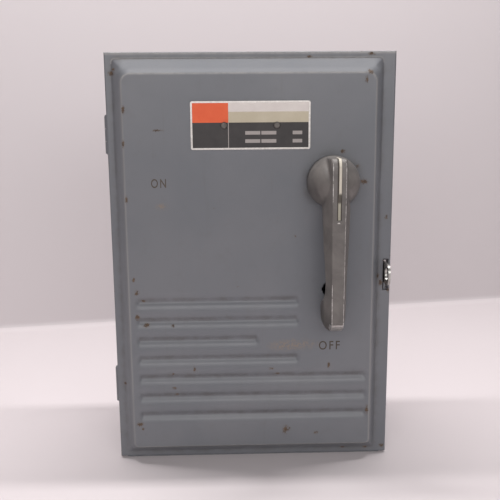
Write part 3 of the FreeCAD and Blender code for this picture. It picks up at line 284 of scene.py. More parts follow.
def metal(name, dark, light, rough, metallic=0.9, grain=1.5, stain=(0.10, 0.08, 0.06), stained=0.35):
    """Plated or bare metal with clouded plating, fine grain, brushing and dull stains."""
    g = Graph(name)
    cloud = g.noise(8.0, 5.0, 0.6, 0.5, seed=17.0)
    brushed = g.noise(grain, 3.0, 0.6, place=g.stretched(1.0, 1.0, 0.12), seed=18.0)
    spots = g.step(g.noise(3.2, 6.0, 0.72, seed=19.0), 0.58, 0.72)
    colour = g.mix(g.step(cloud, 0.3, 0.7), dark, light)
    colour = g.mix(g.times(spots, stained), colour, stain)
    roughness = g.add(g.step(cloud, 0.2, 0.8, rough - 0.07, rough + 0.07), g.times(spots, 0.2))
    return g.finish(Base_Color=colour, Roughness=roughness, Metallic=metallic, Normal=g.bump(brushed, 0.05))


def dull(name, dark, light, rough, size=4.0, depth=0.08):
    """Moulded, fibrous or papery stuff with mottling and a slight tooth."""
    g = Graph(name)
    cloud = g.noise(size * 5, 4.0, 0.6, seed=20.0)
    tooth = g.noise(size * 0.25, 5.0, 0.7, seed=21.0)
    dust = g.step(g.noise(size * 2, 5.0, 0.7, seed=22.0), 0.5, 0.8)
    colour = g.mix(g.step(cloud, 0.3, 0.7), dark, light)
    colour = g.mix(g.times(dust, 0.12), colour, (0.35, 0.33, 0.30))
    roughness = g.step(tooth, 0.2, 0.8, rough - 0.08, rough + 0.08)
    return g.finish(Base_Color=colour, Roughness=roughness, Normal=g.bump(tooth, depth))


PLATE_EDGE = 1.4


def plate_print(left, right, bottom, top):
    """The plate's colour fields inside its bare metal border, with blank bars where figures would go."""
    g = Graph("plate_print")
    scuff = g.noise(2.2, 6.0, 0.75, 0.5, seed=23.0)
    cloud = g.noise(12.0, 4.0, 0.6, seed=24.0)
    wide = right - left
    split_x = left + 0.315 * wide
    band = top - 0.44 * (top - bottom)
    middle = top - 0.22 * (top - bottom)
    colour = g.mix(g.step(cloud, 0.3, 0.7), (0.022, 0.018, 0.018), (0.034, 0.029, 0.028))
    upper = g.step(g.z, band - 0.15, band + 0.15)
    white = g.mix(g.step(cloud, 0.2, 0.8), (0.66, 0.60, 0.57), (0.72, 0.67, 0.63))
    beige = g.mix(g.step(cloud, 0.2, 0.8), (0.50, 0.44, 0.32), (0.56, 0.50, 0.38))
    strip = g.mix(g.step(g.z, middle - 0.15, middle + 0.15), beige, white)
    orange = g.mix(g.step(cloud, 0.2, 0.8), (0.74, 0.090, 0.016), (0.80, 0.12, 0.028))
    field = g.mix(g.step(g.x, split_x - 0.15, split_x + 0.15), orange, strip)
    colour = g.mix(upper, colour, field)
    grey = (0.42, 0.38, 0.36)
    divider = g.times(g.window(g.x, split_x - 0.25, split_x + 0.25, 0.1), g.math("SUBTRACT", 1.0, upper))
    colour = g.mix(divider, colour, grey)
    bars = None
    for start, end in ((0.455, 0.580), (0.590, 0.715), (0.852, 0.932)):
        across = g.window(g.x, left + start * wide, left + end * wide, 0.12)
        for z in (0.345, 0.175):
            centre = bottom + z * (top - bottom)
            bar = g.times(across, g.window(g.z, centre - 1.35, centre + 1.35, 0.12))
            bars = bar if bars is None else g.most(bars, bar)
    colour = g.mix(g.times(bars, 0.85), colour, grey)
    inside = g.times(g.window(g.x, left + PLATE_EDGE, right - PLATE_EDGE, 0.1),
                     g.window(g.z, bottom + PLATE_EDGE, top - PLATE_EDGE, 0.1))
    bare = g.most(g.math("SUBTRACT", 1.0, inside), g.step(scuff, 0.74, 0.77))
    aluminium = g.mix(g.step(scuff, 0.3, 0.7), (0.50, 0.47, 0.44), (0.70, 0.67, 0.64))
    colour = g.mix(bare, colour, aluminium)
    dirt = g.step(scuff, 0.62, 0.72)
    colour = g.mix(g.times(dirt, 0.25), colour, (0.10, 0.075, 0.055))
    rough = g.step(scuff, 0.2, 0.8, 0.40, 0.52)
    shine = g.times(bare, 0.8)
    return g.finish(Base_Color=colour, Roughness=rough, Metallic=shine, Normal=g.bump(scuff, 0.04))


def legend_paint(name, colour_a, colour_b):
    """Brown letters printed on the door, rubbed thin in places."""
    g = Graph(name)
    rub = g.noise(1.6, 6.0, 0.75, 0.3, seed=25.0)
    colour = g.mix(g.step(rub, 0.40, 0.72), colour_a, colour_b)
    rough = g.step(rub, 0.2, 0.8, 0.5, 0.75)
    return g.finish(Base_Color=colour, Roughness=rough, Normal=g.bump(rub, 0.05))


def plain_wall(name, colour, one_sided=False):
    """Plain painted board. A one-sided one is clear from behind, so that the object shows from there too."""
    g = Graph(name)
    cloud = g.noise(200.0, 2.0, 0.5, seed=26.0)
    shade = tuple(c * 0.985 for c in colour)
    tone = g.mix(cloud, shade, colour)
    material = g.finish(Base_Color=tone, Roughness=0.75, Specular_IOR_Level=0.2)
    if one_sided:
        nodes, links = g.tree.nodes, g.tree.links
        side, clear, both = (nodes.new(kind) for kind in (
            "ShaderNodeNewGeometry", "ShaderNodeBsdfTransparent", "ShaderNodeMixShader"))
        output = next(node for node in nodes if node.type == "OUTPUT_MATERIAL")
        links.new(side.outputs["Backfacing"], both.inputs[0])
        links.new(g.shader.outputs[0], both.inputs[1])
        links.new(clear.outputs[0], both.inputs[2])
        links.new(both.outputs[0], output.inputs[0])
    return material


# ---- mesh helpers ----


def new_object(name, points, faces, material, body, smooth=True):
    """A mesh from points in millimetres, riding on a body."""
    mesh = bpy.data.meshes.new(name)
    mesh.from_pydata([tuple(c * MM for c in p) for p in points], [], faces)
    mesh.update()
    mesh.validate()
    shape = bpy.data.objects.new(name, mesh)
    bpy.context.scene.collection.objects.link(shape)
    mesh.materials.append(material)
    for polygon in mesh.polygons:
        polygon.use_smooth = smooth
    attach(shape, body)
    return shape


def vertices_mm(mesh):
    co = np.empty(len(mesh.vertices) * 3)
    mesh.vertices.foreach_get("co", co)
    return co.reshape(-1, 3) / MM


def write_attribute(mesh, name, values):
    layer = mesh.attributes.new(name, "FLOAT", "POINT")
    layer.data.foreach_set("value", np.clip(values, 0.0, 1.0).astype(np.float32))


def convexity(mesh, spread):
    """How far each vertex stands out of its neighbourhood, in millimetres: edges are positive."""
    co = vertices_mm(mesh)
    pairs = np.empty(len(mesh.edges) * 2, dtype=np.int64)
    mesh.edges.foreach_get("vertices", pairs)
    pairs = pairs.reshape(-1, 2)
    count = np.bincount(pairs.ravel(), minlength=len(co)).astype(float)
    count[count == 0] = 1.0

    def average(field):
        total = np.zeros_like(field)
        np.add.at(total, pairs[:, 0], field[pairs[:, 1]])
        np.add.at(total, pairs[:, 1], field[pairs[:, 0]])
        return total / count.reshape(-1, *([1] * (field.ndim - 1)))

    smooth = co
    for _ in range(spread):
        smooth = average(smooth) * 0.5 + smooth * 0.5
    normal = np.empty(len(co) * 3)
    mesh.vertices.foreach_get("normal", normal)
    out = np.sum((co - smooth) * normal.reshape(-1, 3), axis=1)
    return average(average(out))


def closeness(co, places):
    """1 at the middle of each (x, z, width, height) place, falling to 0 a little past its rim."""
    near = np.zeros(len(co))
    for x, z, width, height in places:
        away = np.hypot((co[:, 0] - x) / (1.2 * width), (co[:, 2] - z) / (1.2 * height))
        near = np.maximum(near, 1.0 - away)
    return np.clip(near, 0.0, 1.0)


# ---- door ----

FLANGE_INSET = (5.5, 10.0, 4.5, 4.8)
RIDGE_INSET = (11.2, 13.8, 10.3, 12.8)
PANEL_INSET = (13.4, 16.4, 12.3, 16.6)
RIDGE_RISE = 6.0
PANEL_RISE = 9.0
BEND_R = 1.2
GROOVE_ZS = tuple(137.2 - 16.15 * index for index in range(7))
GROOVE_LEFT = -95.0
GROOVE_RIGHTS = (38.5, 38.5, 5.5, 38.5, 94.5, 94.5, 94.5)
GROOVE_HALF_W = 3.75
GROOVE_DEPTH = 2.7
GROOVE_LIFT = 0.7
# Strength of the painted shade and dirt along the grooves' upper shoulders.
GROOVE_DIRT_AND_SHADE = 1.8
SLOT_X = (106.4, 110.8)
SLOT_Z = (143.5, 169.5)
LOCK_HOLE = (62.5, 147.0, 6.6)
SHAFT_HOLE = (HUB_X, HUB_Z, 9.0)
HINGE_ROOMS = ((48.1, 80.5), (254.6, 287.0))


def rectangle_distance(x, z, inset, radius):
    """Distance to a rounded rectangle set in from the door's edges, negative inside it."""
    left, right, bottom, top = inset
    radius = np.where(z > HUB_Z, radius, 0.5 * radius)
    low_x, high_x = DOOR_LOW.x + left + radius, DOOR_HIGH.x - right - radius
    low_z, high_z = DOOR_LOW.z + bottom + radius, DOOR_HIGH.z - top - radius
    dx = np.maximum(low_x - x, x - high_x)
    dz = np.maximum(low_z - z, z - high_z)
    outside = np.hypot(np.maximum(dx, 0), np.maximum(dz, 0))
    return outside + np.minimum(np.maximum(dx, dz), 0) - radius


def cove(share):
    """A concave quarter from 0 to 1: it leaves the flange gently and meets the ridge steeply."""
    start_x, start_y, radius = -1.53, 8.87, 9.0
    along = 7.0 * share
    return (start_y - np.sqrt(radius**2 - (along - start_x) ** 2)) / 6.0


def plain_rise(x, z):
    into_flange = np.maximum(-rectangle_distance(x, z, FLANGE_INSET, 3.0), 0)
    off_ridge = rectangle_distance(x, z, RIDGE_INSET, 5.0)
    off_panel = np.maximum(rectangle_distance(x, z, PANEL_INSET, 7.0), 0)
    up = into_flange / np.maximum(into_flange + np.maximum(off_ridge, 0), 1e-6)
    over = np.maximum(-off_ridge, 0)
    slope = over / np.maximum(over + off_panel, 1e-6)
    up = np.clip(up, 0, 1)
    hollow = np.where(z > HUB_Z, 0.0, 0.35)
    return RIDGE_RISE * (hollow * cove(up) + (1 - hollow) * up) + (PANEL_RISE - RIDGE_RISE) * slope


def groove_rise(x, z):
    """Valleys with a sharp bottom and wide shoulders: the sheet between them is left rounded."""
    down = np.zeros_like(x)
    for centre, right in zip(GROOVE_ZS, GROOVE_RIGHTS):
        past = np.maximum(GROOVE_LEFT + GROOVE_HALF_W - x, x - (right - GROOVE_HALF_W))
        away = np.hypot(1.5 * np.maximum(past, 0), z - centre - GROOVE_LIFT)
        wide = np.exp(-((away / 3.3) ** 2) / 2)
        sharp = np.exp(-((away / 1.5) ** 2) / 2)
        down = np.maximum(down, GROOVE_DEPTH * (0.66 * wide + 0.34 * sharp))
    return down


def door_rise(x, z):
    """The pressed sheet's height over the flange, with its bends eased as a press leaves them."""
    total = np.zeros_like(x)
    for dx in (-0.5, 0.0, 0.5):
        for dz in (-0.5, 0.0, 0.5):
            total += plain_rise(x + dx, z + dz) - groove_rise(x + dx, z + dz)
    inside = np.clip(-rectangle_distance(x, z, PANEL_INSET, 7.0) / 25.0, 0, 1)
    waves = np.sin(x / 31.0 + 0.6) * np.cos(z / 47.0 - 0.4) + 0.5 * np.sin(x / 17.0 - z / 23.0)
    return total / 9 + 0.16 * inside * (waves - 1.0)


def grid_lines(low, high, coarse, bands):
    """Positions from low to high, coarse apart, and finer inside each (start, end, step) band."""
    stops = sorted({low, high, *(edge for band in bands for edge in band[:2])})
    found = [low]
    for start, end in zip(stops, stops[1:]):
        middle = (start + end) / 2
        step = min([coarse] + [s for a, b, s in bands if a <= middle <= b])
        count = max(1, math.ceil((end - start) / step - 1e-6))
        found.extend(start + (end - start) * (index + 1) / count for index in range(count))
    return np.array(found)


def door_grid():
    low_x, high_x = DOOR_LOW.x + BEND_R, DOOR_HIGH.x - BEND_R
    low_z, high_z = DOOR_LOW.z + BEND_R, DOOR_HIGH.z - BEND_R
    x_bands = [(low_x, -91.0, 0.5), (92.0, high_x, 0.5), (*SLOT_X, 0.5), (0.0, 7.0, 0.6), (33.0, 40.0, 0.6)]
    x_bands += [(HUB_X - 10, HUB_X + 10, 0.6)]
    z_bands = [(low_z, 20.0, 0.5), (high_z - 18.0, high_z, 0.5), (*SLOT_Z, 1.0)]
    z_bands += [(centre - 7.0, centre + 7.0, 0.6) for centre in GROOVE_ZS]
    z_bands += [(LOCK_HOLE[1] - 7.6, LOCK_HOLE[1] + 7.6, 0.5), (HUB_Z - 10, HUB_Z + 10, 0.6)]
    z_bands += [(*room, 1.5) for room in HINGE_ROOMS]
    return grid_lines(low_x, high_x, 1.8, x_bands), grid_lines(low_z, high_z, 1.8, z_bands)


def round_hole(flat, hole):
    """Moves the grid points nearest a hole's rim onto it, and says which points lie inside."""
    cx, cz, radius = hole
    away = np.hypot(flat[:, 0] - cx, flat[:, 2] - cz)
    rim = (away >= radius) & (away < radius + 0.45)
    pull = radius / np.maximum(away, 1e-6)
    flat[rim, 0] = cx + (flat[rim, 0] - cx) * pull[rim]
    flat[rim, 2] = cz + (flat[rim, 2] - cz) * pull[rim]
    return away < radius


def door_front():
    """The sheet's front as points and quads, its holes open, with its grid's size."""
    xs, zs = door_grid()
    gx, gz = np.meshgrid(xs, zs, indexing="ij")
    flat = np.stack([gx.ravel(), np.zeros(gx.size), gz.ravel()], axis=1)
    gone = round_hole(flat, LOCK_HOLE) | round_hole(flat, SHAFT_HOLE)
    flat[:, 1] = FLANGE_Y - door_rise(flat[:, 0], flat[:, 2])
    rows, columns = len(xs), len(zs)
    quads = []
    for i in range(rows - 1):
        for j in range(columns - 1):
            a = i * columns + j
            quad = (a, a + columns, a + columns + 1, a + 1)
            middle_x, middle_z = (xs[i] + xs[i + 1]) / 2, (zs[j] + zs[j + 1]) / 2
            in_slot = SLOT_X[0] < middle_x < SLOT_X[1] and SLOT_Z[0] < middle_z < SLOT_Z[1]
            if not in_slot and not gone[list(quad)].any():
                quads.append(quad)
    return flat, quads, rows, columns


def door_skirts(points, quads, rows, columns):
    """Bends the sheet back round its four edges: far on the top and right, less on the left, barely below."""
    sides = (
        ([i * columns for i in range(rows)], (0, -1), 4),
        ([(rows - 1) * columns + j for j in range(columns)], (1, 0), 7),
        ([i * columns + columns - 1 for i in reversed(range(rows))], (0, 1), 7),
        ([j for j in reversed(range(columns))], (-1, 0), 6),
    )
    outward = {}
    for side, (ox, oz), _ in sides:
        for index in side:
            first = outward.get(index, (0, 0))
            outward[index] = (first[0] + ox, first[1] + oz)
    straight = (FLANGE_Y + 4.2, FLANGE_Y + 7.0, DOOR_HIGH.y)
    made = {}

    def point(index, level):
        if level == 0:
            return index
        if (index, level) not in made:
            turn = math.radians(22.5 * min(level, 4))
            x, _, z = points[index]
            ox, oz = outward[index]
            y = FLANGE_Y + BEND_R * (1 - math.cos(turn)) if level <= 4 else straight[level - 5]
            made[index, level] = len(points)
            points.append((x + ox * BEND_R * math.sin(turn), y, z + oz * BEND_R * math.sin(turn)))
        return made[index, level]

    for side, (ox, _), deepest in sides:
        for a, b in zip(side, side[1:]):
            middle_z = (points[a][2] + points[b][2]) / 2
            for level in range(deepest):
                notch = ox < 0 and level == 5 and any(low < middle_z < high for low, high in HINGE_ROOMS)
                if not notch:
                    corners = (point(a, level), point(a, level + 1), point(b, level + 1), point(b, level))
                    quads.append(corners)


PAINT_LOSS = (
    (-107, 317, 4, 3), (-105, 320, 2, 2), (91, 317, 4, 3), (88, 311, 2, 4), (-98, 290, 2, 5),
    (-99, 264, 2, 4),
    (-98, 221, 2, 5), (-72, 274, 6, 1.6), (-95, 157, 2, 3), (-93, 146, 3, 3), (-88, 139, 3, 2),
    (-93, 126, 3, 4),
    (-86, 119, 4, 3), (-65, 118, 2, 2), (-48, 81, 2, 4), (-66, 77, 2, 2), (-65, 65, 3, 2), (-63, 59, 2, 2),
    (15, 81, 3, 2), (20, 76, 3, 2), (62, 83, 2, 4), (-94, 34, 4, 3), (-92, 30, 2, 2), (26, 27, 3, 6),
    (30, 28, 2, 2), (52, 24, 3, 2), (94, 43, 2, 6), (109, 7, 3, 3), (76, 6, 3, 2), (95, 6, 3, 2),
    (-106, 67, 2, 2), (70.7, 256.8, 3.2, 2.4), (87.0, 233.4, 5.5, 3.4), (82.5, 245.5, 2.6, 2.6),
    (108, 204, 2, 3), (104.5, 150, 3, 4), (102, 156, 2, 3), (108, 146, 3, 3), (111, 144, 2, 3),
    (45, 329, 3, 1.5),
    (93, 331, 4, 2), (-30, 214, 1.5, 1), (34, 190, 1.5, 1.5), (-58, 176, 1.2, 1.5), (-12, 150, 1.5, 1),
)
SCUFFS = ((34, 101, 20, 5), (24, 100, 12, 5), (-71, 215, 5, 3))


def paint_marks(mesh):
    """Where the door's paint is chipped, rubbed off its edges or dirty, and where shade and highlights are
    painted on it.
    """
    co = vertices_mm(mesh)
    x, z = co[:, 0], co[:, 2]
    ridge = np.exp(-((rectangle_distance(x, z, RIDGE_INSET, 5.0) / 0.8) ** 2))
    panel = np.exp(-((rectangle_distance(x, z, PANEL_INSET, 7.0) / 0.8) ** 2))
    border = np.minimum.reduce([x - DOOR_LOW.x, DOOR_HIGH.x - x, z - DOOR_LOW.z, DOOR_HIGH.z - z])
    rim = np.exp(-((np.maximum(border - 0.6, 0) / 0.9) ** 2)) * (co[:, 1] < FLANGE_Y + 2.0)
    slot_x = np.maximum(SLOT_X[0] - x, x - SLOT_X[1])
    slot_z = np.maximum(SLOT_Z[0] - z, z - SLOT_Z[1])
    slot = np.exp(-((np.hypot(np.maximum(slot_x, 0), np.maximum(slot_z, 0)) / 1.2) ** 2))
    write_attribute(mesh, "edge", np.maximum.reduce([0.62 * ridge, 0.45 * panel, 0.8 * rim, 0.9 * slot]))
    write_attribute(mesh, "chip", closeness(co, PAINT_LOSS))
    # Painted shade: the foot of the cove round the flange is darkened, as shade falls in the crease.
    cove_foot_shade = np.exp(-((rectangle_distance(x, z, FLANGE_INSET, 3.0) / 2.2) ** 2))
    # Painted shade with dirt: a dark line along each groove's upper shoulder.
    groove_dirt_and_shade = groove_rise(x, z - 1.7) / GROOVE_DEPTH
    scuffed = closeness(co, SCUFFS)
    from_hub = np.hypot(x - HUB_X, z - HUB_Z)
    # Painted shade with dirt: a dark ring round the hub's base on the door, left off at its bottom.
    halo = np.exp(-((np.maximum(from_hub - 21.5, 0) / 2.6) ** 2)) * (z > HUB_Z - 18.0)
    # Painted highlight: the pale line round the panel's edge grows brighter towards the top, where the light
    # falls.
    high = np.clip((z - 200.0) / 120.0, 0, 1)
    # The pale line round the panel's edge: worn paint and painted highlight.
    panel_edge_wear_and_highlight = np.exp(-((rectangle_distance(x, z, PANEL_INSET, 7.0) / 0.65) ** 2)) * (0.75 + 0.35 * high)
    # Painted highlights along the flange's foot and the door's top bend, on the top side only.
    top_foot_highlight = np.exp(-((rectangle_distance(x, z, FLANGE_INSET, 3.0) / 0.5) ** 2)) * (z > DOOR_HIGH.z - 9.0)
    top_bend_highlight = np.exp(-(((DOOR_HIGH.z - 1.2 - z) / 0.8) ** 2)) * (co[:, 1] < FLANGE_Y + 1.0)
    write_attribute(mesh, "rub", np.maximum.reduce([panel_edge_wear_and_highlight, top_foot_highlight, top_bend_highlight]))
    write_attribute(mesh, "scuff", scuffed)
    # Dirt on the scuffs; painted shade in the cove's foot, along the grooves and round the hub.
    dirt = (0.8 * cove_foot_shade, GROOVE_DIRT_AND_SHADE * groove_dirt_and_shade**4, 0.25 * scuffed, 0.9 * halo)
    write_attribute(mesh, "grime_and_shade", np.maximum.reduce(dirt))


def build_door(material):
    flat, quads, rows, columns = door_front()
    points = [tuple(p) for p in flat]
    door_skirts(points, quads, rows, columns)
    used = sorted({index for quad in quads for index in quad})
    renumber = {old: new for new, old in enumerate(used)}
    points = [points[index] for index in used]
    quads = [tuple(renumber[index] for index in quad) for quad in quads]
    door = new_object("door_sheet", points, quads, material, "door")
    paint_marks(door.data)
    sheet = door.modifiers.new("thickness", "SOLIDIFY")
    sheet.thickness = 1.5 * MM
    sheet.offset = -1.0
    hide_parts("door_cover")
    return door


# ---- handle ----

CROWN_R = 8.0
CROWN_Z = 254.0
CROWN_ARC = tuple((CROWN_Z - CROWN_R * (1 - math.sin(math.radians(a))),
                   -95.5 - CROWN_R * math.cos(math.radians(a))) for a in range(0, 91, 10))
ARM_FRONT = (
    (118.3, -80.0), (118.6, -83.0), (119.4, -86.5), (120.4, -90.0), (121.6, -93.8), (123.2, -97.2),
    (125.0, -99.8), (127.0, -101.9), (129.0, -103.5), *CROWN_ARC,
)
ARM_BACK = (
    (118.3, -77.0), (118.6, -74.5), (120.0, -71.0), (122.0, -68.6), (125.0, -67.0), (134.5, -67.0),
    (137.5, -68.5), (140.0, -72.5), (142.5, -78.5), (145.0, -84.5), (148.0, -88.6), (152.0, -90.8),
    (158.0, -91.6), (170.0, -91.2), (186.0, -89.6), (202.0, -87.0), (212.0, -84.0), (220.0, -80.0),
    (230.0, -76.0), (254.0, -74.0),
)
RIDGE_Y = HANDLE_LOW.y
HUB_R = 20.3
HUB_BACK = HANDLE_HIGH.y
HUB_H = 35.5


def along(table, z):
    heights, depths = zip(*table)
    return float(np.interp(z, heights, depths))


def ridge_half(z):
    """The flat ridge narrows slowly from the hub to the tip."""
    return float(np.interp(z, (118.0, 150.0, 234.0), (4.5, 4.7, 5.1)))


def widest_half(z):
    """The arm's widest at each height: rounded in at the tip, and held inside the hub's circle at the top."""
    heights = (118.3, 119.5, 121.5, 124.5, 129.0, 216.0, 232.0)
    wide = float(np.interp(z, heights, (4.0, 6.0, 7.3, 8.1, 8.4, 10.3, 6.4)))
    over = max(z - HUB_Z, 0.0)
    return min(wide, math.sqrt(max((HUB_R - 0.3) ** 2 - over**2, 0.04)))


def arm_points():
    """Rings of the lever's arm from its tip up over the hub, each a ridge with drafted flanks."""
    steps = 14
    tip, arm = np.arange(118.3, 150.0, 0.45), np.arange(150.0, 243.0, 1.5)
    heights = np.concatenate([tip, arm, np.arange(243.0, CROWN_Z, 0.5)])
    points = []
    for z in heights:
        front, back = along(ARM_FRONT, z), along(ARM_BACK, z)
        widest = widest_half(z)
        ridge = min(ridge_half(z), widest)
        draft = 0.20 + 0.30 * (z - 118.0) / 136.0
        left, right = [], []
        for index in range(steps):
            y = back + (front - back) * index / (steps - 1)
            half = min(widest, ridge + draft * (y - front))
            left.append((HUB_X - half, y, z))
            right.append((HUB_X + half, y, z))
        points.extend(left + right[::-1])
    count = 2 * steps
    faces = [tuple(range(count))[::-1], tuple(range(len(points) - count, len(points)))]
    for ring in range(len(heights) - 1):
        for index in range(count):
            a = ring * count + index
            b = ring * count + (index + 1) % count
            faces.append((a, b, b + count, a + count))
    return points, faces


def hub_points():
    """The domed hub, turned about the shaft's axis."""
    profile = []
    for index in range(1, 19):
        lean = math.radians(90 * index / 18)
        profile.append((HUB_R * math.sin(lean), HUB_BACK - HUB_H * math.cos(lean) ** 0.92))
    around = 72
    points = [(HUB_X, HUB_BACK - HUB_H, HUB_Z)]
    for radius, y in profile:
        for index in range(around):
            angle = 2 * math.pi * index / around
            points.append((HUB_X + radius * math.cos(angle), y, HUB_Z + radius * math.sin(angle)))
    faces = [(0, 1 + index, 1 + (index + 1) % around) for index in range(around)]
    for ring in range(len(profile) - 1):
        for index in range(around):
            a = 1 + ring * around + index
            b = 1 + ring * around + (index + 1) % around
            faces.append((a, a + around, b + around, b))
    faces.append(tuple(range(len(points) - around, len(points))))
    return points, faces


def pointer_cutter():
    """A long bar whose floor runs 1.4 mm under the ridge and on over the crown."""
    half, depth = 1.7, 1.4
    path = [(RIDGE_Y, z, (-1.0, 0.0)) for z in np.arange(208.6, CROWN_Z - CROWN_R - 1, 2.0)]
    for (z, y), degrees in zip(CROWN_ARC, range(0, 91, 10)):
        lean = math.radians(degrees)
        path.append((y, z, (-math.cos(lean), math.sin(lean))))
    path.append((-85.0, CROWN_Z, (0.0, 1.0)))
    points = []
    for y, z, out in path:
        for side, lift in ((-half, -depth), (half, -depth), (half, 3.0), (-half, 3.0)):
            points.append((HUB_X + side, y + out[0] * lift, z + out[1] * lift))
    faces = [(0, 1, 2, 3), tuple(len(points) - 4 + k for k in (3, 2, 1, 0))]
    for ring in range(len(path) - 1):
        for k in range(4):
            a, b = ring * 4 + k, ring * 4 + (k + 1) % 4
            faces.append((a, a + 4, b + 4, b))
    return points, faces


def apply_modifiers(shape):
    """Puts a piece's modifiers into its mesh."""
    bpy.context.view_layer.update()
    graph = bpy.context.evaluated_depsgraph_get()
    mesh = bpy.data.meshes.new_from_object(shape.evaluated_get(graph))
    shape.modifiers.clear()
    shape.data = mesh


def solid(name, points, faces):
    mesh = bpy.data.meshes.new(name)
    mesh.from_pydata([tuple(c * MM for c in p) for p in points], [], faces)
    shape = bmesh.new()
    shape.from_mesh(mesh)
    bmesh.ops.recalc_face_normals(shape, faces=shape.faces)
    shape.to_mesh(mesh)
    shape.free()
    piece = bpy.data.objects.new(name, mesh)
    bpy.context.scene.collection.objects.link(piece)
    return piece


def fill_creases(handle):
    """Eases the hollow where the arm's flanks run out into the hub."""
    hollow = np.clip(-convexity(handle.data, 8) / 0.10, 0, 1) * (vertices_mm(handle.data)[:, 2] > 214.0)
    group = handle.vertex_groups.new(name="creases")
    for index in np.nonzero(hollow > 0.05)[0]:
        group.add([int(index)], float(hollow[index]), "REPLACE")
    fill = handle.modifiers.new("fill", "SMOOTH")
    fill.vertex_group = group.name
    fill.factor = 0.6
    fill.iterations = 60
    apply_modifiers(handle)


def build_handle(material):
    """The casting: arm and hub grown into one skin, eased as castings are, with the groove cut last."""
    arm, arm_faces = arm_points()
    hub, hub_faces = hub_points()
    faces = arm_faces + [tuple(index + len(arm) for index in face) for face in hub_faces]
    handle = solid("cast_lever", arm + hub, faces)
    skin = handle.modifiers.new("skin", "REMESH")
    skin.mode = "VOXEL"
    skin.voxel_size = 0.5 * MM
    ease = handle.modifiers.new("ease", "SMOOTH")
    ease.factor = 0.5
    ease.iterations = 5
    apply_modifiers(handle)
    fill_creases(handle)
    cutter = solid("pointer_cutter", *pointer_cutter())
    cut = handle.modifiers.new("groove", "BOOLEAN")
    cut.operation = "DIFFERENCE"
    cut.solver = "EXACT"
    cut.object = cutter
    apply_modifiers(handle)
    bpy.data.objects.remove(cutter)
    handle.data.materials.clear()
    handle.data.materials.append(material)
    for polygon in handle.data.polygons:
        polygon.use_smooth = True
    co = vertices_mm(handle.data)
    out = convexity(handle.data, 5)
    nick = closeness(co, ((HUB_X - 0.3, 206.4, 1.5, 0.6),)) * 2
    off_axis = np.abs(co[:, 0] - HUB_X)
    tip = (co[:, 2] < 128.6) & (co[:, 1] < -94.5) & (off_axis < 5.6)
    beside = np.interp(co[:, 2], (118.0, 150.0, 234.0), (4.5, 4.7, 5.1)) - 0.25
    line = np.exp(-(((off_axis - beside) / 0.42) ** 2)) * (co[:, 1] < RIDGE_Y + 1.3)
    right = (co[:, 0] > HUB_X) | (co[:, 2] < 160.0) | (co[:, 2] > 222.0)
    line *= np.where(right, 0.92, 0.55)
    raised = 0.5 * np.clip(out / 0.12, 0, 1)
    write_attribute(handle.data, "edge", np.maximum.reduce([raised, 1.0 * tip, nick, line]))
    # Painted shade with dirt: darker towards the door, down the lug's lower end off the ridge face, and in
    # hollow creases.
    low = np.clip((co[:, 1] + 76.0) / 8.0, 0, 1)
    lug_shade = np.clip((140.0 - co[:, 2]) / 14.0, 0, 1) * (co[:, 1] > RIDGE_Y + 1.0)
    crease_shade = np.clip(-out / 0.10, 0, 1) * np.where(co[:, 2] > 222.0, 0.35, 1.0)
    write_attribute(handle.data, "grime_and_shade", np.maximum.reduce([low, 0.8 * lug_shade, crease_shade]))
    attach(handle, "handle")
    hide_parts("operating_handle")
    return handle


# ---- legends ----


def legend(name, words, centre_x, centre_z, width, height, material):
    """A word as thin paint on the panel, fitted to its width and height in millimetres."""
    curve = bpy.data.curves.new(name, "FONT")
    curve.body = words
    curve.size = 1.0
    curve.offset = 0.008
    curve.space_character = 1.3
    curve.extrude = 0.002
    source = bpy.data.objects.new(name + "_source", curve)
    bpy.context.scene.collection.objects.link(source)
    bpy.context.view_layer.update()
    graph = bpy.context.evaluated_depsgraph_get()
    mesh = bpy.data.meshes.new_from_object(source.evaluated_get(graph))
    bpy.data.objects.remove(source)
    co = np.array([v.co for v in mesh.vertices])
    low, high = co.min(0), co.max(0)
    for vertex, place in zip(mesh.vertices, co):
        share = (place - low) / np.maximum(high - low, 1e-9)
        x = centre_x + (share[0] - 0.5) * width
        z = centre_z + (share[1] - 0.5) * height
        surface = FLANGE_Y - float(door_rise(np.array([x]), np.array([z]))[0])
        vertex.co = (x * MM, (surface + 0.02 - 0.06 * share[2]) * MM, z * MM)
    mesh.materials.clear()
    mesh.materials.append(material)
    piece = bpy.data.objects.new(name, mesh)
    bpy.context.scene.collection.objects.link(piece)
    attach(piece, "door")
    return piece


# ---- materials on the nodes ----


def dress_nodes(by_slot, special):
    """Gives every CAD node its slot's material."""
    slots = {entry["node"]: entry["material_slot"] for entry in frame["record"]["subparts"]}
    for name, node in frame["nodes"].items():
        material = special.get(name) or by_slot[slots[name]]
        node.data.materials.clear()
        node.data.materials.append(material)


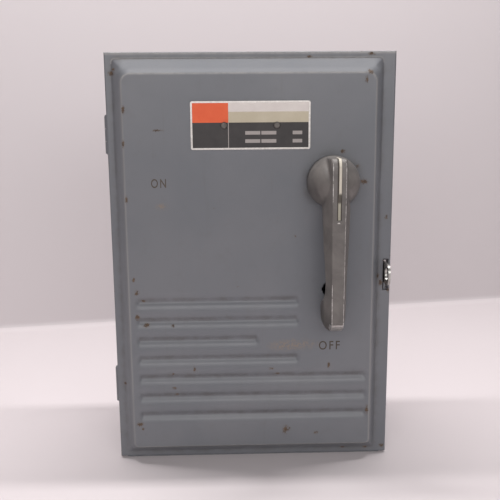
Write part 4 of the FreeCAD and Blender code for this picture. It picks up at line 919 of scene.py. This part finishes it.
def build_object():
    paint = enamel("door_enamel", True)
    build_door(paint)
    build_handle(cast_handle())
    brown = legend_paint("legend_brown", (0.042, 0.030, 0.020), (0.100, 0.076, 0.056))
    rust_brown = legend_paint("legend_rust", (0.062, 0.042, 0.026), (0.110, 0.086, 0.066))
    legend("legend_off", "OFF", 62.2, 99.9, 17.1, 7.4, brown)
    legend("legend_on", "ON", -72.7, 233.4, 11.6, 7.0, rust_brown)
    case_paint = enamel("case_enamel", False)
    zinc = metal("zinc_plate", (0.34, 0.33, 0.31), (0.55, 0.54, 0.51), 0.34)
    copper = metal("copper", (0.52, 0.24, 0.13), (0.72, 0.38, 0.22), 0.30, stain=(0.16, 0.08, 0.05))
    brass = metal("brass", (0.52, 0.38, 0.16), (0.70, 0.54, 0.27), 0.30, stain=(0.18, 0.12, 0.05))
    by_slot = {
        "enamel": case_paint,
        "hinge_steel": case_paint,
        "zinc_steel": zinc,
        "moulding": dull("phenolic", (0.020, 0.014, 0.012), (0.040, 0.028, 0.022), 0.38, 3.0, 0.04),
        "fibre": dull("grey_fibre", (0.16, 0.155, 0.145), (0.24, 0.23, 0.21), 0.72, 3.0, 0.10),
        "copper": copper,
        "brass": brass,
        "plated_lug": metal("tin_plate", (0.48, 0.48, 0.47), (0.66, 0.66, 0.65), 0.38),
        "cast_aluminium": metal("die_cast", (0.30, 0.29, 0.28), (0.42, 0.41, 0.40), 0.45),
        "plate_aluminium": metal("aluminium", (0.50, 0.48, 0.45), (0.68, 0.66, 0.63), 0.32),
        "pointer_paint": pointer_paint(),
        "card": dull("card_paper", (0.50, 0.46, 0.36), (0.60, 0.56, 0.45), 0.85, 6.0, 0.05),
    }
    build_spring(zinc)
    low, high = bounds_mm("nameplate")
    special = {"nameplate": plate_print(low.x, high.x, low.z, high.z)}
    special["nameplate_rivets"] = metal("dull_rivet", (0.075, 0.068, 0.064), (0.150, 0.138, 0.128), 0.45, 0.7)
    dress_nodes(by_slot, special)


# ---- opening spring ----


def build_spring(material):
    """The opening spring's coil: a copy of the CAD coil in the given material, standing in for the hidden CAD
    coil.
    """
    source = bpy.data.objects["opening_spring"]
    mesh = source.data.copy()
    mesh.transform(source.matrix_world)
    mesh.materials.clear()
    mesh.materials.append(material)
    coil = bpy.data.objects.new("stretching_spring", mesh)
    bpy.context.scene.collection.objects.link(coil)
    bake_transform(coil)
    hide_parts("opening_spring")


# ---- stage ----


def backdrop():
    """A pale floor that turns up into a wall behind the object, a little nearer on the left."""
    wall_y, bend, half, skew = 372.0, 10.0, 4000.0, 0.165
    profile = [(-2500.0, 0.0), (wall_y - bend, 0.0)]
    for index in range(1, 9):
        turn = math.radians(90 * index / 8)
        profile.append((wall_y - bend + bend * math.sin(turn), bend - bend * math.cos(turn)))
    profile.append((wall_y, 3000.0))
    points = [(side, y + (side * skew if y > 0 else 0.0), z) for y, z in profile for side in (-half, half)]
    faces = [(2 * k, 2 * k + 1, 2 * k + 3, 2 * k + 2) for k in range(len(profile) - 1)]
    mesh = bpy.data.meshes.new("floor")
    mesh.from_pydata([tuple(c * MM for c in p) for p in points], [], faces)
    mesh.materials.append(plain_wall("pale_floor", (0.70, 0.645, 0.655)))
    mesh.materials.append(plain_wall("pale_wall", (0.625, 0.58, 0.59), one_sided=True))
    for polygon in mesh.polygons:
        polygon.use_smooth = True
        if polygon.center.z > 0.004:
            polygon.material_index = 1
    floor = bpy.data.objects.new("floor", mesh)
    bpy.context.scene.collection.objects.link(floor)


def soft_light(name, place, aim, size, power, colour=(1.0, 1.0, 1.0)):
    data = bpy.data.lights.new(name, "AREA")
    data.shape = "RECTANGLE"
    data.size, data.size_y = size
    data.energy = power
    data.color = colour
    lamp = bpy.data.objects.new(name, data)
    lamp.location = place
    lamp.rotation_euler = (Vector(aim) - Vector(place)).to_track_quat("-Z", "Y").to_euler()
    bpy.context.scene.collection.objects.link(lamp)


def lights():
    soft_light("tube", (0.0, 0.035, 1.20), (0.0, 0.02, 0.0), (1.2, 0.05), 13.5, (1.0, 0.98, 0.98))
    soft_light("front", (0.0, -1.25, 0.64), (0.0, -0.05, 0.22), (1.6, 0.5), 9.6, (1.0, 0.985, 0.985))
    world = bpy.data.worlds.new("room")
    world.use_nodes = True
    background = world.node_tree.nodes["Background"]
    background.inputs[0].default_value = (1.0, 0.965, 0.97, 1.0)
    background.inputs[1].default_value = 0.15
    bpy.context.scene.world = world


def camera():
    data = bpy.data.cameras.new("camera")
    data.sensor_width = 36.0
    data.lens = 50.4
    data.clip_start = 0.01
    view = bpy.data.objects.new("camera", data)
    view.location = (-0.0169, -0.6089, 0.2833)
    view.rotation_euler = Euler([math.radians(a) for a in (79.276, 0.442, -1.641)])
    bpy.context.scene.collection.objects.link(view)
    bpy.context.scene.camera = view


build_object()
backdrop()
lights()
camera()
bpy.context.scene.view_settings.view_transform = "Standard"
